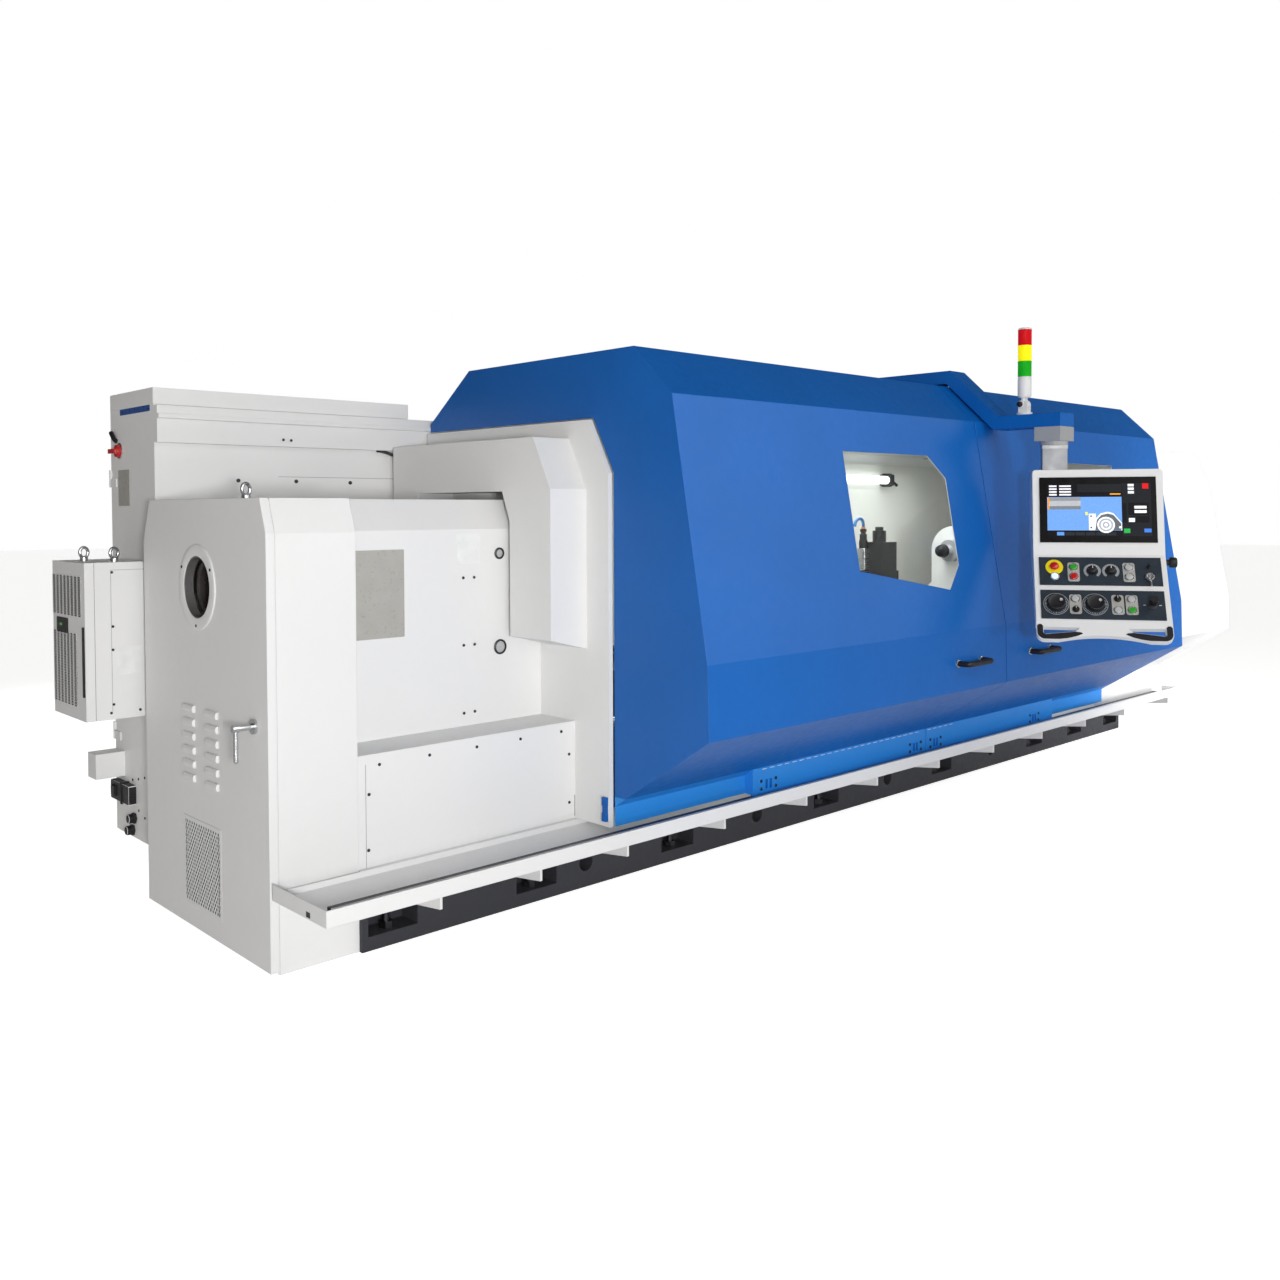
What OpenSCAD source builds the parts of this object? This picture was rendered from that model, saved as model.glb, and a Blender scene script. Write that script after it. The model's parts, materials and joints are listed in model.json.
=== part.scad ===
// Turning lathe with a long bed and a two-part sliding enclosure.
// Millimetres. X runs along the bed towards the tailstock, Y to the rear, Z up.
// The origin is on the floor under the spindle axis, half way along the bed.

/* [Bed] */
// Length of the cast bed
bed_l = 5050; // [4900:10:5300]
// Bed face in front of the spindle axis
bed_front = 473; // [462:1:480]
// Bed face behind the spindle axis
bed_rear = 480; // [470:1:500]
// Height of the plinth
plinth_h = 240; // [220:1:244]
// Height of the flat way
way_z = 716; // [660:1:740]
// Distance from the axis to the middle of each way
way_y = 200; // [180:1:215]
// Width of a way
way_w = 60; // [50:1:70]
// Height of a way above the bed top
way_h = 16; // [10:1:24]
// Rise of the prism way above the flat way
prism_rise = 6; // [3:1:10]
// Half width of the bed top
bed_half = 270; // [262:1:275]
// Half width of the bed web
web_half = 215; // [190:1:225]
// Half width of the chip slot
slot_half = 110; // [80:1:130]
// Depth of the chip slot
slot_d = 80; // [40:1:140]
// Width of a levelling pocket
pocket_w = 170; // [120:5:190]
// Height of a levelling pocket
pocket_h = 105; // [80:1:130]
// Depth of a levelling pocket
pocket_d = 90; // [60:1:120]
// Floor of a levelling pocket
pocket_z = 42; // [30:1:60]
// Pitch of the lifting bores
lift_pitch = 902; // [860:1:930]
// Position of the first lifting bore
lift_x = -1655; // [-1670:1:-1640]
// Height of the lifting bores
lift_z = 85; // [60:1:110]
// Diameter of the lifting bores
lift_d = 60; // [40:1:70]
// Diameter of a levelling screw
screw_d = 24; // [16:1:30]

/* [Spindle] */
// Height of the spindle axis
spindle_z = 1071; // [1050:1:1100]
// Diameter of the through bore
spindle_bore_d = 152; // [100:1:160]
// Diameter in the headstock
spindle_d = 230; // [210:1:240]
// Diameter of the rear tube
tube_d = 184; // [172:1:188]
// Diameter of the nose flange
nose_d = 298; // [280:1:310]
// Thickness of the nose flange
nose_t = 40; // [30:1:50]
// Diameter of the nose spigot
spigot_d = 196.8; // [190:0.1:204]
// Length of the nose spigot
spigot_l = 14; // [8:1:20]
// Bolt circle of the nose
nose_pcd = 235; // [228:1:244]
// Diameter of the nose bolt holes
nose_hole_d = 17.5; // [12:0.5:20]
// Depth of the nose bolt holes
nose_hole_l = 30; // [20:1:36]
// Diameter of the spindle pulley
pulley_d = 340; // [300:2:380]
// Width of the pulleys
pulley_w = 90; // [60:1:110]
// Diameter of the motor pulley
motor_pulley_d = 220; // [180:2:260]
// Height of the motor shaft
motor_z = 560; // [500:1:600]
// Diameter of the motor shaft
motor_shaft_d = 60; // [40:1:80]
// Thickness of the belt
belt_t = 12; // [8:1:16]
// Radial running clearance of shafts
run_gap = 0.05; // [0.03:0.01:0.08]
// Gap between sliding faces
slide_gap = 0.3; // [0.2:0.1:0.5]

/* [Headstock covers] */
// Length of the headstock
head_l = 835; // [800:1:870]
// Half width of the headstock cover
head_half = 274; // [268:1:282]
// Height of the headstock cover above the spindle axis
head_over = 268; // [254:1:279]
// Height of the cover's chamfer
head_chamfer_h = 100; // [60:1:120]
// Width of the cover's chamfer
head_chamfer_w = 57; // [30:1:70]
// Sheet thickness of the covers
sheet = 4; // [3:0.5:5]
// Room between the headstock casting and its cover
cast_gap = 8; // [4:1:12]
// Front of the lower cover
lower_front = 458; // [450:1:462]
// Height of the lower cover's ledge
ledge_z = 580; // [540:1:620]

/* [End cover] */
// Width of the end cover
end_w = 277; // [262:1:300]
// Rear of the end cover
end_rear = 432; // [420:1:440]
// Height of the end cover above the spindle axis
end_over = 268; // [254:1:279]
// Front chamfer of the end cover, width and height
end_chamfer_w = 36; // [20:1:50]
// Height of the front chamfer
end_chamfer_h = 100; // [60:1:120]
// Rear chamfer width
end_rear_chamfer_w = 56; // [30:1:80]
// Rear chamfer height
end_rear_chamfer_h = 133; // [90:1:150]
// Thickness of the end door
door_t = 25; // [20:1:30]
// Floor gap below the end door
door_gap_z = 10; // [6:1:20]
// Shadow gap between the end door and the cover's skin
door_seam = 3; // [2:0.5:4]
// Diameter of a hinge barrel
hinge_d = 15.4; // [14:0.2:15.4]
// Length of a hinge barrel
hinge_l = 60; // [40:1:80]
// Diameter of the bar hole in the door
bar_hole_d = 191; // [190:1:200]
// Outer diameter of the ring on the bar hole
bar_ring_d = 255; // [240:1:270]
// Thickness of the ring
bar_ring_t = 5; // [3:1:8]
// Length of a louvre
louvre_l = 78; // [60:1:90]
// Height of a louvre
louvre_h = 22; // [16:1:28]
// Pitch of the louvres
louvre_pitch = 43; // [36:1:46]
// Lowest louvre
louvre_z = 478; // [470:1:490]
// Pitch of the perforations
perf_pitch = 22; // [20:1:24]
// Size of a perforation
perf_d = 11; // [7:0.5:13]
// Lowest perforation
perf_z = 96; // [90:1:110]
// Height of the door handle
handle_z = 695; // [670:1:720]
// Distance from the door handle to the front edge
handle_inset = 82; // [70:1:95]

/* [Splash guard] */
// Front edge of the guard plate
guard_front = 636; // [630:1:640]
// Thickness of the guard plate
guard_t = 16; // [10:1:20]
// Top of the guard plate
guard_top = 1606; // [1590:1:1608]
// Rear edge of the guard plate
guard_rear = 438; // [420:1:440]
// Guard chamfer width
guard_chamfer_w = 98; // [80:1:110]
// Guard chamfer height
guard_chamfer_h = 182; // [150:1:200]
// Length of the raised frame
frame_l = 156; // [120:1:180]
// Outer front of the raised frame
frame_front = 523; // [510:1:540]
// Top of the raised frame
frame_top = 1547; // [1535:1:1560]
// Chamfer width of the raised frame
frame_chamfer_w = 91; // [70:1:100]
// Chamfer height of the raised frame
frame_chamfer_h = 175; // [150:1:190]
// Foot of the raised frame at the guard plate
frame_foot_z = 832; // [815:1:850]
// Rise of the frame's foot away from the plate
frame_foot_rise = 39; // [20:1:50]
// Room between the frame and the headstock cover
frame_gap = 28; // [20:1:34]
// Room round the spindle nose in the guard plate
nose_gap = 16; // [10:1:24]

/* [Hoods] */
// Length of one hood
hood_l = 1794; // [1740:1:1800]
// Gap between the closed hoods
seam_gap = 6; // [4:1:10]
// Sheet thickness of the hoods
hood_t = 4; // [3:0.5:5]
// Height of the roof
roof_z = 1833; // [1825:1:1838]
// Rear lower edge of the roof
hood_rear = 439; // [430:1:442]
// Height of the roof's rear bend
rear_bend_z = 1644; // [1635:1:1655]
// Distance of the roof's rear bend behind the axis
roof_rear = 175; // [150:1:200]
// Front edge of the roof
roof_front = 741; // [735:1:745]
// Lower edge of the roof chamfer
brow_y = 915; // [905:1:920]
// Height of the lower edge of the roof chamfer
brow_z = 1668; // [1660:1:1676]
// Upper bend of the bulge
bulge_y = 1066; // [1060:1:1072]
// Height of the upper bend
bulge_z = 825; // [810:1:840]
// Lower bend of the bulge
belly_y = 1072; // [1066:1:1078]
// Height of the lower bend
belly_z = 588; // [575:1:600]
// Front of the skirt
skirt_y = 646; // [644:1:650]
// Top of the skirt
skirt_z = 315; // [311:1:325]
// Lower edge of the skirt
skirt_foot_z = 247; // [245:1:252]
// Room between a hood and what it slides over
portal_gap = 6; // [4:1:8]
// Width of the inner flange at the seam
seam_flange = 30; // [20:1:40]
// Length of the runner under a hood
runner_l = 1146; // [1000:1:1200]
// Thickness of the runner
runner_t = 12; // [8:1:14]
// Front of the runner
runner_y = 688; // [684:1:692]
// Window edge next to the seam, and its far edge, measured from the seam
window_near = 289; // [270:1:310]
// Far edge of the window measured from the seam
window_far = 950; // [900:1:980]
// Distance from the roof chamfer down to the window
window_top = 158; // [140:1:180]
// Height of the window on its near side
window_h = 440; // [420:1:460]
// Width of the upper window chamfer
window_chamfer_w = 110; // [90:1:130]
// Height of the upper window chamfer
window_chamfer_h = 90; // [70:1:110]
// Drop of the sill towards the seam
sill_drop = 95; // [80:1:110]
// Overlap of the pane behind the hood sheet
pane_lap = 18; // [12:1:24]
// Thickness of the pane
pane_t = 8; // [5:1:10]
// Shift of the right window away from the seam
window_shift = 286; // [260:1:310]
// Distance from a hood handle to the seam
grip_x = 283; // [250:1:320]
// Height of the hood handles
grip_z = 698; // [670:1:720]
// Length of a hood handle
grip_l = 220; // [180:1:240]
// Depth of a hood handle
grip_depth = 58; // [45:1:66]
// Diameter of a handle bar
grip_d = 24; // [18:1:28]

/* [Rail] */
// Front of the rail tray
rail_front = 777; // [765:1:790]
// Top of the rail lip
rail_top = 268; // [262:1:280]
// Underside of the rail tray
rail_bottom = 222; // [214:1:226]
// Overhang of the tray past the right end of the bed
rail_over = 80; // [60:1:100]
// Height of the track in the tray
track_h = 14; // [10:1:15]
// Width of the track in the tray
track_w = 20; // [16:1:24]
// Pitch of the tray brackets
bracket_pitch = 458; // [440:1:470]
// Thickness of a tray bracket
bracket_t = 8; // [6:1:12]
// Depth of a bracket at the bed
bracket_h = 115; // [90:1:130]
// Depth of a bracket at the lip
bracket_tip = 40; // [30:1:46]

/* [Right cover] */
// Overhang of the right cover past the bed
cover_over = 115; // [100:1:120]
// Overlap of the right cover inside the hood
cover_lap = 60; // [40:1:90]
// Top of the right cover
cover_top = 1606; // [1590:1:1608]
// Front edge of the cover's top
cover_top_y = 846; // [835:1:850]
// Lower edge of its chamfer
cover_brow_y = 922; // [912:1:926]
// Height of the lower edge of its chamfer
cover_brow_z = 1428; // [1415:1:1440]
// Upper bend of the cover
cover_bulge_y = 1039; // [1030:1:1044]
// Height of the upper bend
cover_bulge_z = 823; // [810:1:835]
// Height of the lower bend
cover_belly_z = 626; // [618:1:634]
// Front of the cover's foot
cover_foot_y = 638; // [634:1:640]
// Top of the cover's foot
cover_foot_z = 372; // [362:1:380]

/* [Rear] */
// Front of the rear wall
wall_y = 440; // [434:1:444]
// Top of the rear wall
wall_top = 1560; // [1550:1:1580]
// Front of the guide beam
beam_y = 452; // [450:1:456]
// Height of the guide beam
beam_h = 125; // [110:1:135]
// Top of the guide beam
beam_top = 1660; // [1650:1:1664]

// Start of the work lamp along the bed
lamp_x = 560; // [500:5:620]
// Length of the work lamp's tube
lamp_l = 840; // [700:10:900]
// Diameter of the work lamp's tube
lamp_d = 46; // [36:1:54]
// Distance from the work lamp up to the top of the rear wall
lamp_drop = 90; // [70:1:120]

/* [Cabinet] */
// Width of the cabinet
cab_w = 990; // [940:1:1040]
// Depth of the cabinet
cab_d = 411; // [390:1:440]
// Underside of the cabinet
cab_z = 145; // [130:1:160]
// Gap between the guide beam and the top cap
cap_gap = 4; // [2:1:8]
// Height of the top cap
cap_h = 56; // [40:1:60]
// Overhang of the top cap
cap_over = 4; // [2:1:6]
// Gap from the end cover's left face to the cabinet
cab_inset = 58; // [40:1:80]
// Wall of the cabinet
cab_t = 4; // [3:1:6]
// Thickness of the cabinet doors
leaf_t = 22; // [18:1:28]
// Width of the cooling unit
cool_w = 319; // [300:1:340]
// Depth of the cooling unit
cool_d = 231; // [210:1:250]
// Height of the cooling unit
cool_h = 520; // [490:1:540]
// Underside of the cooling unit
cool_z = 615; // [600:1:630]
// Height of the dark strip's face in front of the cooling unit
cool_strip = 5; // [3:0.5:8]
// Depth of the supply box on the cabinet's side
supply_d = 100; // [80:1:110]
// Width of the supply box
supply_w = 80; // [60:1:90]
// Underside of the supply box
supply_z = 352; // [340:1:380]
// Height of the supply box
supply_h = 89; // [70:1:100]
// Depth of the socket block and glands under the supply box
socket_d = 26; // [20:1:40]
// Height of the main switch
switch_z = 1518; // [1500:1:1540]

/* [Slides] */
// Middle of the carriage
car_x = 520; // [480:1:560]
// Length of the carriage
car_l = 620; // [560:1:660]
// Half width of the carriage
car_half = 345; // [335:1:355]
// Top of the carriage
car_top = 800; // [780:1:820]
// Thickness of the apron
apron_t = 60; // [54:1:64]
// Depth of the apron
apron_h = 330; // [300:1:350]
// Diameter of the ball screw
ball_d = 36; // [30:1:40]
// Height of the ball screw
ball_z = 520; // [510:1:540]
// Width of the cross slide
cross_w = 260; // [230:1:280]
// Length of the cross slide
cross_l = 400; // [360:1:430]
// Rear end of the cross slide
cross_rear = 70; // [40:1:90]
// Thickness of the cross slide
cross_t = 75; // [60:1:80]
// Width of the guide under the cross slide
cross_way_w = 180; // [160:1:200]
// Height of the guide under the cross slide
cross_way_h = 15; // [10:1:20]
// Width of the tool post
post_w = 170; // [150:1:180]
// Middle of the tool post in front of the axis
post_y = 165; // [155:1:175]
// Width of the tool holder
holder_w = 120; // [100:1:130]
// Height of the tool holder
holder_h = 140; // [120:1:150]
// Height of the tool bar
tool_h = 32; // [25:1:40]
// Reach of the tool bar in front of its holder
tool_reach = 70; // [50:1:90]
// Diameter of the clamp column
clamp_d = 66; // [50:1:76]
// Height of the clamp column
clamp_h = 56; // [40:1:70]
// Middle of the tailstock
tail_x = 1690; // [1660:1:1720]
// Length of the tailstock
tail_l = 460; // [420:1:500]
// Half width of the tailstock foot
tail_half = 250; // [235:1:260]
// Diameter of the tailstock barrel
barrel_d = 270; // [240:1:290]
// Diameter of the quill
quill_d = 120; // [100:1:130]
// Length of the quill nose in front of the barrel
nose_l = 45; // [30:1:60]

/* [Control arm] */
// Left side of the arm
arm_x = 191; // [185:1:200]
// Width of the arm
arm_w = 117; // [110:1:125]
// Thickness of the arm
arm_t = 55; // [50:1:60]
// Gap between the arm and the roof
arm_gap = 13; // [10:1:18]
// Reach of the arm in front of the axis
arm_reach = 1262; // [1245:1:1280]
// Upper bend of the arm
arm_bend_y = 738; // [734:1:742]
// Lower bend of the arm
arm_low_y = 964; // [960:1:970]
// Underside of the arm's front stretch
arm_low_z = 1635; // [1631:1:1640]
// Depth of the arm's column
column_d = 80; // [70:1:100]
// Foot of the column
column_foot_z = 60; // [40:1:80]
// Length of the arm head
headbox_l = 112; // [106:1:120]
// Height of the arm head
headbox_h = 58; // [50:1:62]
// Diameter of the collar
collar_d = 110; // [100:1:112]
// Height of the collar
collar_h = 17; // [12:1:20]
// Diameter of the swivel pin
swivel_d = 60; // [50:1:70]

/* [Control panel] */
// Angle of the panel from facing the front
panel_yaw = 58; // [50:1:64]
// Width of the panel
panel_w = 489; // [470:1:510]
// Distance from the swivel to the left edge
panel_left = 88; // [76:1:100]
// Forward place of the fold
fold_y = 144; // [136:1:152]
// Height of the fold
fold_z = 1118; // [1110:1:1126]
// Backward tilt of the screen face
screen_tilt = 14; // [10:1:18]
// Backward tilt of the button face
desk_tilt = 33; // [28:1:38]
// Length of the screen face
screen_face_l = 351; // [340:1:360]
// Length of the button face
desk_l = 300; // [290:1:306]
// Length of the grip frame below it
grip_frame_l = 77; // [70:1:86]
// Thickness of the grip frame
grip_frame_t = 25; // [18:1:30]
// Thickness of the desk
desk_t = 60; // [50:1:70]
// Width of the screen
screen_w = 437; // [420:1:450]
// Height of the screen
screen_h = 268; // [255:1:275]
// Distance from the fold to the screen
screen_gap = 50; // [44:1:56]
// Thickness of the screen and the button plates
plate_t = 5; // [4:1:7]
// Width of the button plates
plate_w = 449; // [440:1:456]
// Height of the button plates
plate_h = 125; // [120:1:127]
// Pitch of the button plates
plate_pitch = 149; // [146:1:152]
// Distance from the fold to the upper plate
plate_gap = 14; // [10:1:18]
// Radius of the panel's corners
corner_r = 12; // [6:1:20]
// Side of the square post
stem_w = 95; // [80:1:100]
// Diameter of the emergency stop
estop_d = 34; // [28:1:38]
// Diameter of a push button
button_d = 27; // [22:1:29]
// Travel of a push button
button_travel = 3; // [2:0.5:4]
// Diameter of an override dial
dial_d = 36; // [30:1:40]
// Diameter of a handwheel
wheel_d = 66; // [58:1:70]
// Diameter of the joystick
stick_d = 30; // [24:1:34]

/* [Signal tower] */
// Distance from the arm's end back to the tower
tower_back = 187; // [160:1:210]
// Diameter of the tower
tower_d = 56; // [48:1:62]
// Height of one lens
lens_h = 65; // [60:1:72]
// Height of the tower's body
tower_body_h = 88; // [76:1:96]
// Height of the pivot above the arm
pivot_h = 45; // [40:1:52]
// Diameter of the pivot
pivot_d = 40; // [34:1:44]
// Diameter of the pivot pin
pivot_pin_d = 12; // [8:1:16]

/* [Hidden] */
$fn = 64;
eps = 1;

// Places along the bed
bed_x0 = -bed_l / 2;
bed_x1 = bed_l / 2;
head_h = spindle_z + head_over;
end_h = spindle_z + end_over;
end_x0 = bed_x0 - end_w;
door_x1 = end_x0 + door_t;
guard_x0 = bed_x0 + head_l;
guard_x1 = guard_x0 + guard_t;
hood_x0 = guard_x1 + 1;
seam_x0 = hood_x0 + hood_l;
seam_x1 = seam_x0 + seam_gap;
seam_x = (seam_x0 + seam_x1) / 2;
hood_x1 = seam_x1 + hood_l;
cover_x0 = hood_x1 - cover_lap;
cover_x1 = bed_x1 + cover_over;
rail_x0 = end_x0;
rail_x1 = bed_x1 + rail_over;
pulley_x = bed_x0 - end_w / 2 - 2;
cab_x0 = end_x0 + cab_inset;
cab_x1 = cab_x0 + cab_w;
cab_y0 = bed_rear;
cab_y1 = cab_y0 + cab_d;
cab_top = beam_top + cap_gap + cap_h;
rail_floor = rail_bottom + sheet;
rail_seat = plinth_h + sheet;
track_top = rail_floor + track_h;
arm_z = roof_z + arm_gap;
column_y = bed_rear;
stem_x = arm_x + arm_w / 2;
stem_y = headbox_l / 2 - arm_reach;
head_bottom = arm_low_z - headbox_h;
collar_bottom = head_bottom - collar_h;
panel_top = fold_z + screen_face_l * cos(screen_tilt);
stem_top = collar_bottom - slide_gap;

// Outlines in the Y Z plane
guard_line = [
    [-guard_front, 0],
    [-guard_front, guard_top - guard_chamfer_h],
    [guard_chamfer_w - guard_front, guard_top],
    [guard_rear, guard_top]
];
portal_line = offset_line(guard_line, portal_gap);
hood_line = [
    [hood_rear, guard_top + portal_gap],
    [hood_rear, rear_bend_z],
    [roof_rear, roof_z],
    [-roof_front, roof_z],
    [-brow_y, brow_z],
    [-bulge_y, bulge_z],
    [-belly_y, belly_z],
    [-skirt_y, skirt_z],
    [-skirt_y, skirt_foot_z]
];
cover_line = [
    [beam_y, cover_top],
    [-cover_top_y, cover_top],
    [-cover_brow_y, cover_brow_z],
    [-cover_bulge_y, cover_bulge_z],
    [-cover_bulge_y - 3, cover_belly_z],
    [-cover_foot_y, cover_foot_z],
    [-cover_foot_y, rail_floor]
];
end_line = [
    [-lower_front, 0],
    [-lower_front, end_h - end_chamfer_h],
    [end_chamfer_w - lower_front, end_h],
    [end_rear - end_rear_chamfer_w, end_h],
    [end_rear, end_h - end_rear_chamfer_h],
    [end_rear, 0]
];

// Parallel line at a distance to the left of an open line, with mitred corners
function unit(v) = v / norm(v);
function left_of(v) = [-v[1], v[0]];
function side(p, i) = left_of(unit(p[i + 1] - p[i]));
function mitre(p, i) =
    i == 0 ? side(p, 0) :
    i == len(p) - 1 ? side(p, i - 1) :
    (side(p, i - 1) + side(p, i)) / (1 + side(p, i - 1) * side(p, i));
function offset_line(p, d) = [for (i = [0:len(p) - 1]) p[i] + d * mitre(p, i)];
function reversed(p) = [for (i = [len(p) - 1:-1:0]) p[i]];
function band(p, d) = concat(p, reversed(offset_line(p, d)));

module along_x(x0, x1)
    translate([x0, 0, 0]) rotate([90, 0, 90]) linear_extrude(height = x1 - x0) children();

module along_y(y0, y1)
    translate([0, y1, 0]) rotate([90, 0, 0]) linear_extrude(height = y1 - y0) children();

module block(x0, x1, y0, y1, z0, z1)
    translate([x0, y0, z0]) cube([x1 - x0, y1 - y0, z1 - z0]);

module rod_x(x0, x1, y, z, d)
    translate([x0, y, z]) rotate([0, 90, 0]) cylinder(h = x1 - x0, d = d);

module rod_y(y0, y1, x, z, d)
    translate([x, y1, z]) rotate([90, 0, 0]) cylinder(h = y1 - y0, d = d);

// Bed: plinth with levelling pockets and lifting bores, and the ways on their web
pocket_row = concat(
    [for (i = [0:4]) lift_x + lift_pitch * (i + 0.5)], [bed_x0 + 106, bed_x0 + 654, bed_x1 - 566]);

module way_section() {
    top = way_z - way_h;
    foot = web_half + 85;
    half = way_w / 2;
    polygon([
        [-foot, plinth_h], [-foot, plinth_h + 40], [-web_half, plinth_h + 90],
        [-web_half, top - 100], [-bed_half, top - 50], [-bed_half, top],
        [-way_y - half, top], [-way_y, way_z + prism_rise], [half - way_y, top],
        [-slot_half, top], [-slot_half, top - slot_d], [slot_half, top - slot_d], [slot_half, top],
        [way_y - half, top], [way_y - half, way_z], [way_y + half, way_z], [way_y + half, top],
        [bed_half, top], [bed_half, top - 50], [web_half, top - 100],
        [web_half, plinth_h + 90], [foot, plinth_h + 40], [foot, plinth_h]
    ]);
}

module bed() {
    color("dimgray") {
        difference() {
            block(bed_x0, bed_x1, -bed_front, bed_rear, 0, plinth_h);
            for (x = pocket_row) {
                block(x - pocket_w / 2, x + pocket_w / 2, -bed_front - eps, pocket_d - bed_front,
                      pocket_z, pocket_z + pocket_h);
                translate([x, pocket_d / 2 - bed_front, -eps])
                    cylinder(h = pocket_z + 2 * eps, d = screw_d + 4);
            }
            for (i = [0:3]) rod_y(-bed_front - eps, bed_rear + eps, lift_x + lift_pitch * i, lift_z, lift_d);
        }
        along_x(guard_x1, bed_x1 - 20) way_section();
    }
}

// Levelling screws: a stud through each pocket floor with a nut on it and a pad under it
module levelling_screws() {
    color("silver")
        for (x = pocket_row) translate([x, pocket_d / 2 - bed_front, 0]) {
            cylinder(h = pocket_z + 62, d = screw_d);
            translate([0, 0, pocket_z]) cylinder(h = 20, d = screw_d * 1.8, $fn = 6);
        }
}

module headstock() {
    half = head_half - sheet - cast_gap;
    top = head_h - sheet - cast_gap;
    color("gainsboro") difference() {
        along_x(bed_x0, guard_x0 - 40) polygon([
            [-half, plinth_h], [-half, top - head_chamfer_h], [head_chamfer_w - half, top],
            [half - head_chamfer_w, top], [half, top - head_chamfer_h], [half, plinth_h]
        ]);
        rod_x(bed_x0 - eps, guard_x0, 0, spindle_z, spindle_d + 2 * run_gap);
        rod_x(bed_x0 - eps, bed_x0 + 140, 0, motor_z, motor_shaft_d + 2 * run_gap);
    }
}

// Spindle with its rear tube, belt pulley and bolted nose
module spindle() {
    face = guard_x1 + 50;
    color("lightsteelblue") difference() {
        union() {
            rod_x(end_x0 + door_t + 8, bed_x0, 0, spindle_z, tube_d);
            rod_x(bed_x0, face - nose_t, 0, spindle_z, spindle_d);
            rod_x(face - nose_t, face, 0, spindle_z, nose_d);
            rod_x(face, face + spigot_l, 0, spindle_z, spigot_d);
            rod_x(pulley_x - pulley_w / 2, pulley_x + pulley_w / 2, 0, spindle_z, pulley_d);
        }
        rod_x(end_x0, face + 2 * spigot_l, 0, spindle_z, spindle_bore_d);
        for (a = [0:60:300])
            translate([0, 0, spindle_z]) rotate([a, 0, 0])
                rod_x(face - nose_hole_l, face + eps, 0, nose_pcd / 2, nose_hole_d);
    }
}

module motor_pulley() {
    color("slategray") {
        rod_x(pulley_x - pulley_w / 2, pulley_x + pulley_w / 2, 0, motor_z, motor_pulley_d);
        rod_x(pulley_x, bed_x0 + 138, 0, motor_z, motor_shaft_d);
    }
}

// Outline of a loop round the two pulleys, grown by a distance
module belt_loop(grow) {
    r1 = pulley_d / 2 + grow;
    r2 = motor_pulley_d / 2 + grow;
    span = spindle_z - motor_z;
    lean = asin((r1 - r2) / span);
    translate([0, spindle_z]) circle(r = r1);
    translate([0, motor_z]) circle(r = r2);
    polygon([
        [r1 * cos(lean), spindle_z - r1 * sin(lean)], [-r1 * cos(lean), spindle_z - r1 * sin(lean)],
        [-r2 * cos(lean), motor_z - r2 * sin(lean)], [r2 * cos(lean), motor_z - r2 * sin(lean)]
    ]);
}

module drive_belt() {
    color("black") along_x(pulley_x - pulley_w / 2 + 5, pulley_x + pulley_w / 2 - 5) difference() {
        belt_loop(belt_t + slide_gap);
        belt_loop(slide_gap);
    }
}

// End cover: a folded shell that stands on the floor, with a wall towards the headstock
module end_cover() {
    inner = offset_line(end_line, -3);
    color("whitesmoke") {
        along_x(door_x1 + door_seam, bed_x0) polygon(band(end_line, -3));
        along_x(door_x1, bed_x0) polygon(band(inner, -3));
        for (z = hinge_row, up = [-1, 1])
            end_hinge(1, z + up * (hinge_l / 2 + 2) - (up < 0 ? hinge_l / 2 : 0), hinge_l / 2);
        along_x(bed_x0 - 3, bed_x0) difference() {
            polygon(inner);
            translate([-pulley_d / 2 - 40, plinth_h]) square([pulley_d + 80, end_h - plinth_h - 40]);
            translate([-lower_front, -eps]) square([end_rear + lower_front, door_gap_z + eps]);
        }
    }
}

// Half a hinge of the end door, towards the cover (1) or the door (-1): a barrel and its leaf
hinge_row = [220, end_h - end_rear_chamfer_h - 200];

module end_hinge(towards, z, h) {
    x = door_x1 - slide_gap;
    translate([x, end_rear + 8, z]) cylinder(h = h, d = hinge_d);
    translate([x + (towards > 0 ? 0.5 : -18), end_rear - eps, z]) cube([17.5, 8 + eps, h]);
}

module louvre(y, z)
    translate([end_x0, y, z]) intersection() {
        translate([louvre_h * 0.35, 0, 0]) rotate([-90, 0, 0]) cylinder(h = louvre_l, d = louvre_h * 1.6);
        translate([-louvre_h, 0, -louvre_h / 2]) cube([louvre_h, louvre_l, louvre_h]);
    }

// End door: a shallow tray with the bar hole, louvres and a perforated field
module end_door() {
    door_line = [for (p = end_line) [p[0], max(p[1], door_gap_z)]];
    color("whitesmoke") difference() {
        union() {
            along_x(end_x0, end_x0 + 3) polygon(door_line);
            along_x(end_x0, door_x1 - slide_gap) polygon(band(door_line, -3));
            block(end_x0, door_x1 - slide_gap, -lower_front, end_rear, door_gap_z, door_gap_z + 3);
            rod_x(end_x0 - bar_ring_t, end_x0, 0, spindle_z, bar_ring_d);
            for (z = hinge_row) end_hinge(-1, z - hinge_l / 2, hinge_l);
            for (i = [0:5], y = [-133, 35]) louvre(y, louvre_z + louvre_pitch * i);
        }
        rod_x(end_x0 - 2 * bar_ring_t, door_x1, 0, spindle_z, bar_hole_d);
        for (i = [0:10], j = [0:9 - i % 2])
            translate([end_x0 - eps, perf_pitch * (j + (i % 2) / 2) - 133, perf_z + perf_pitch * i])
                cube([3 + 2 * eps, perf_d, perf_d]);
    }
}

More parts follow.
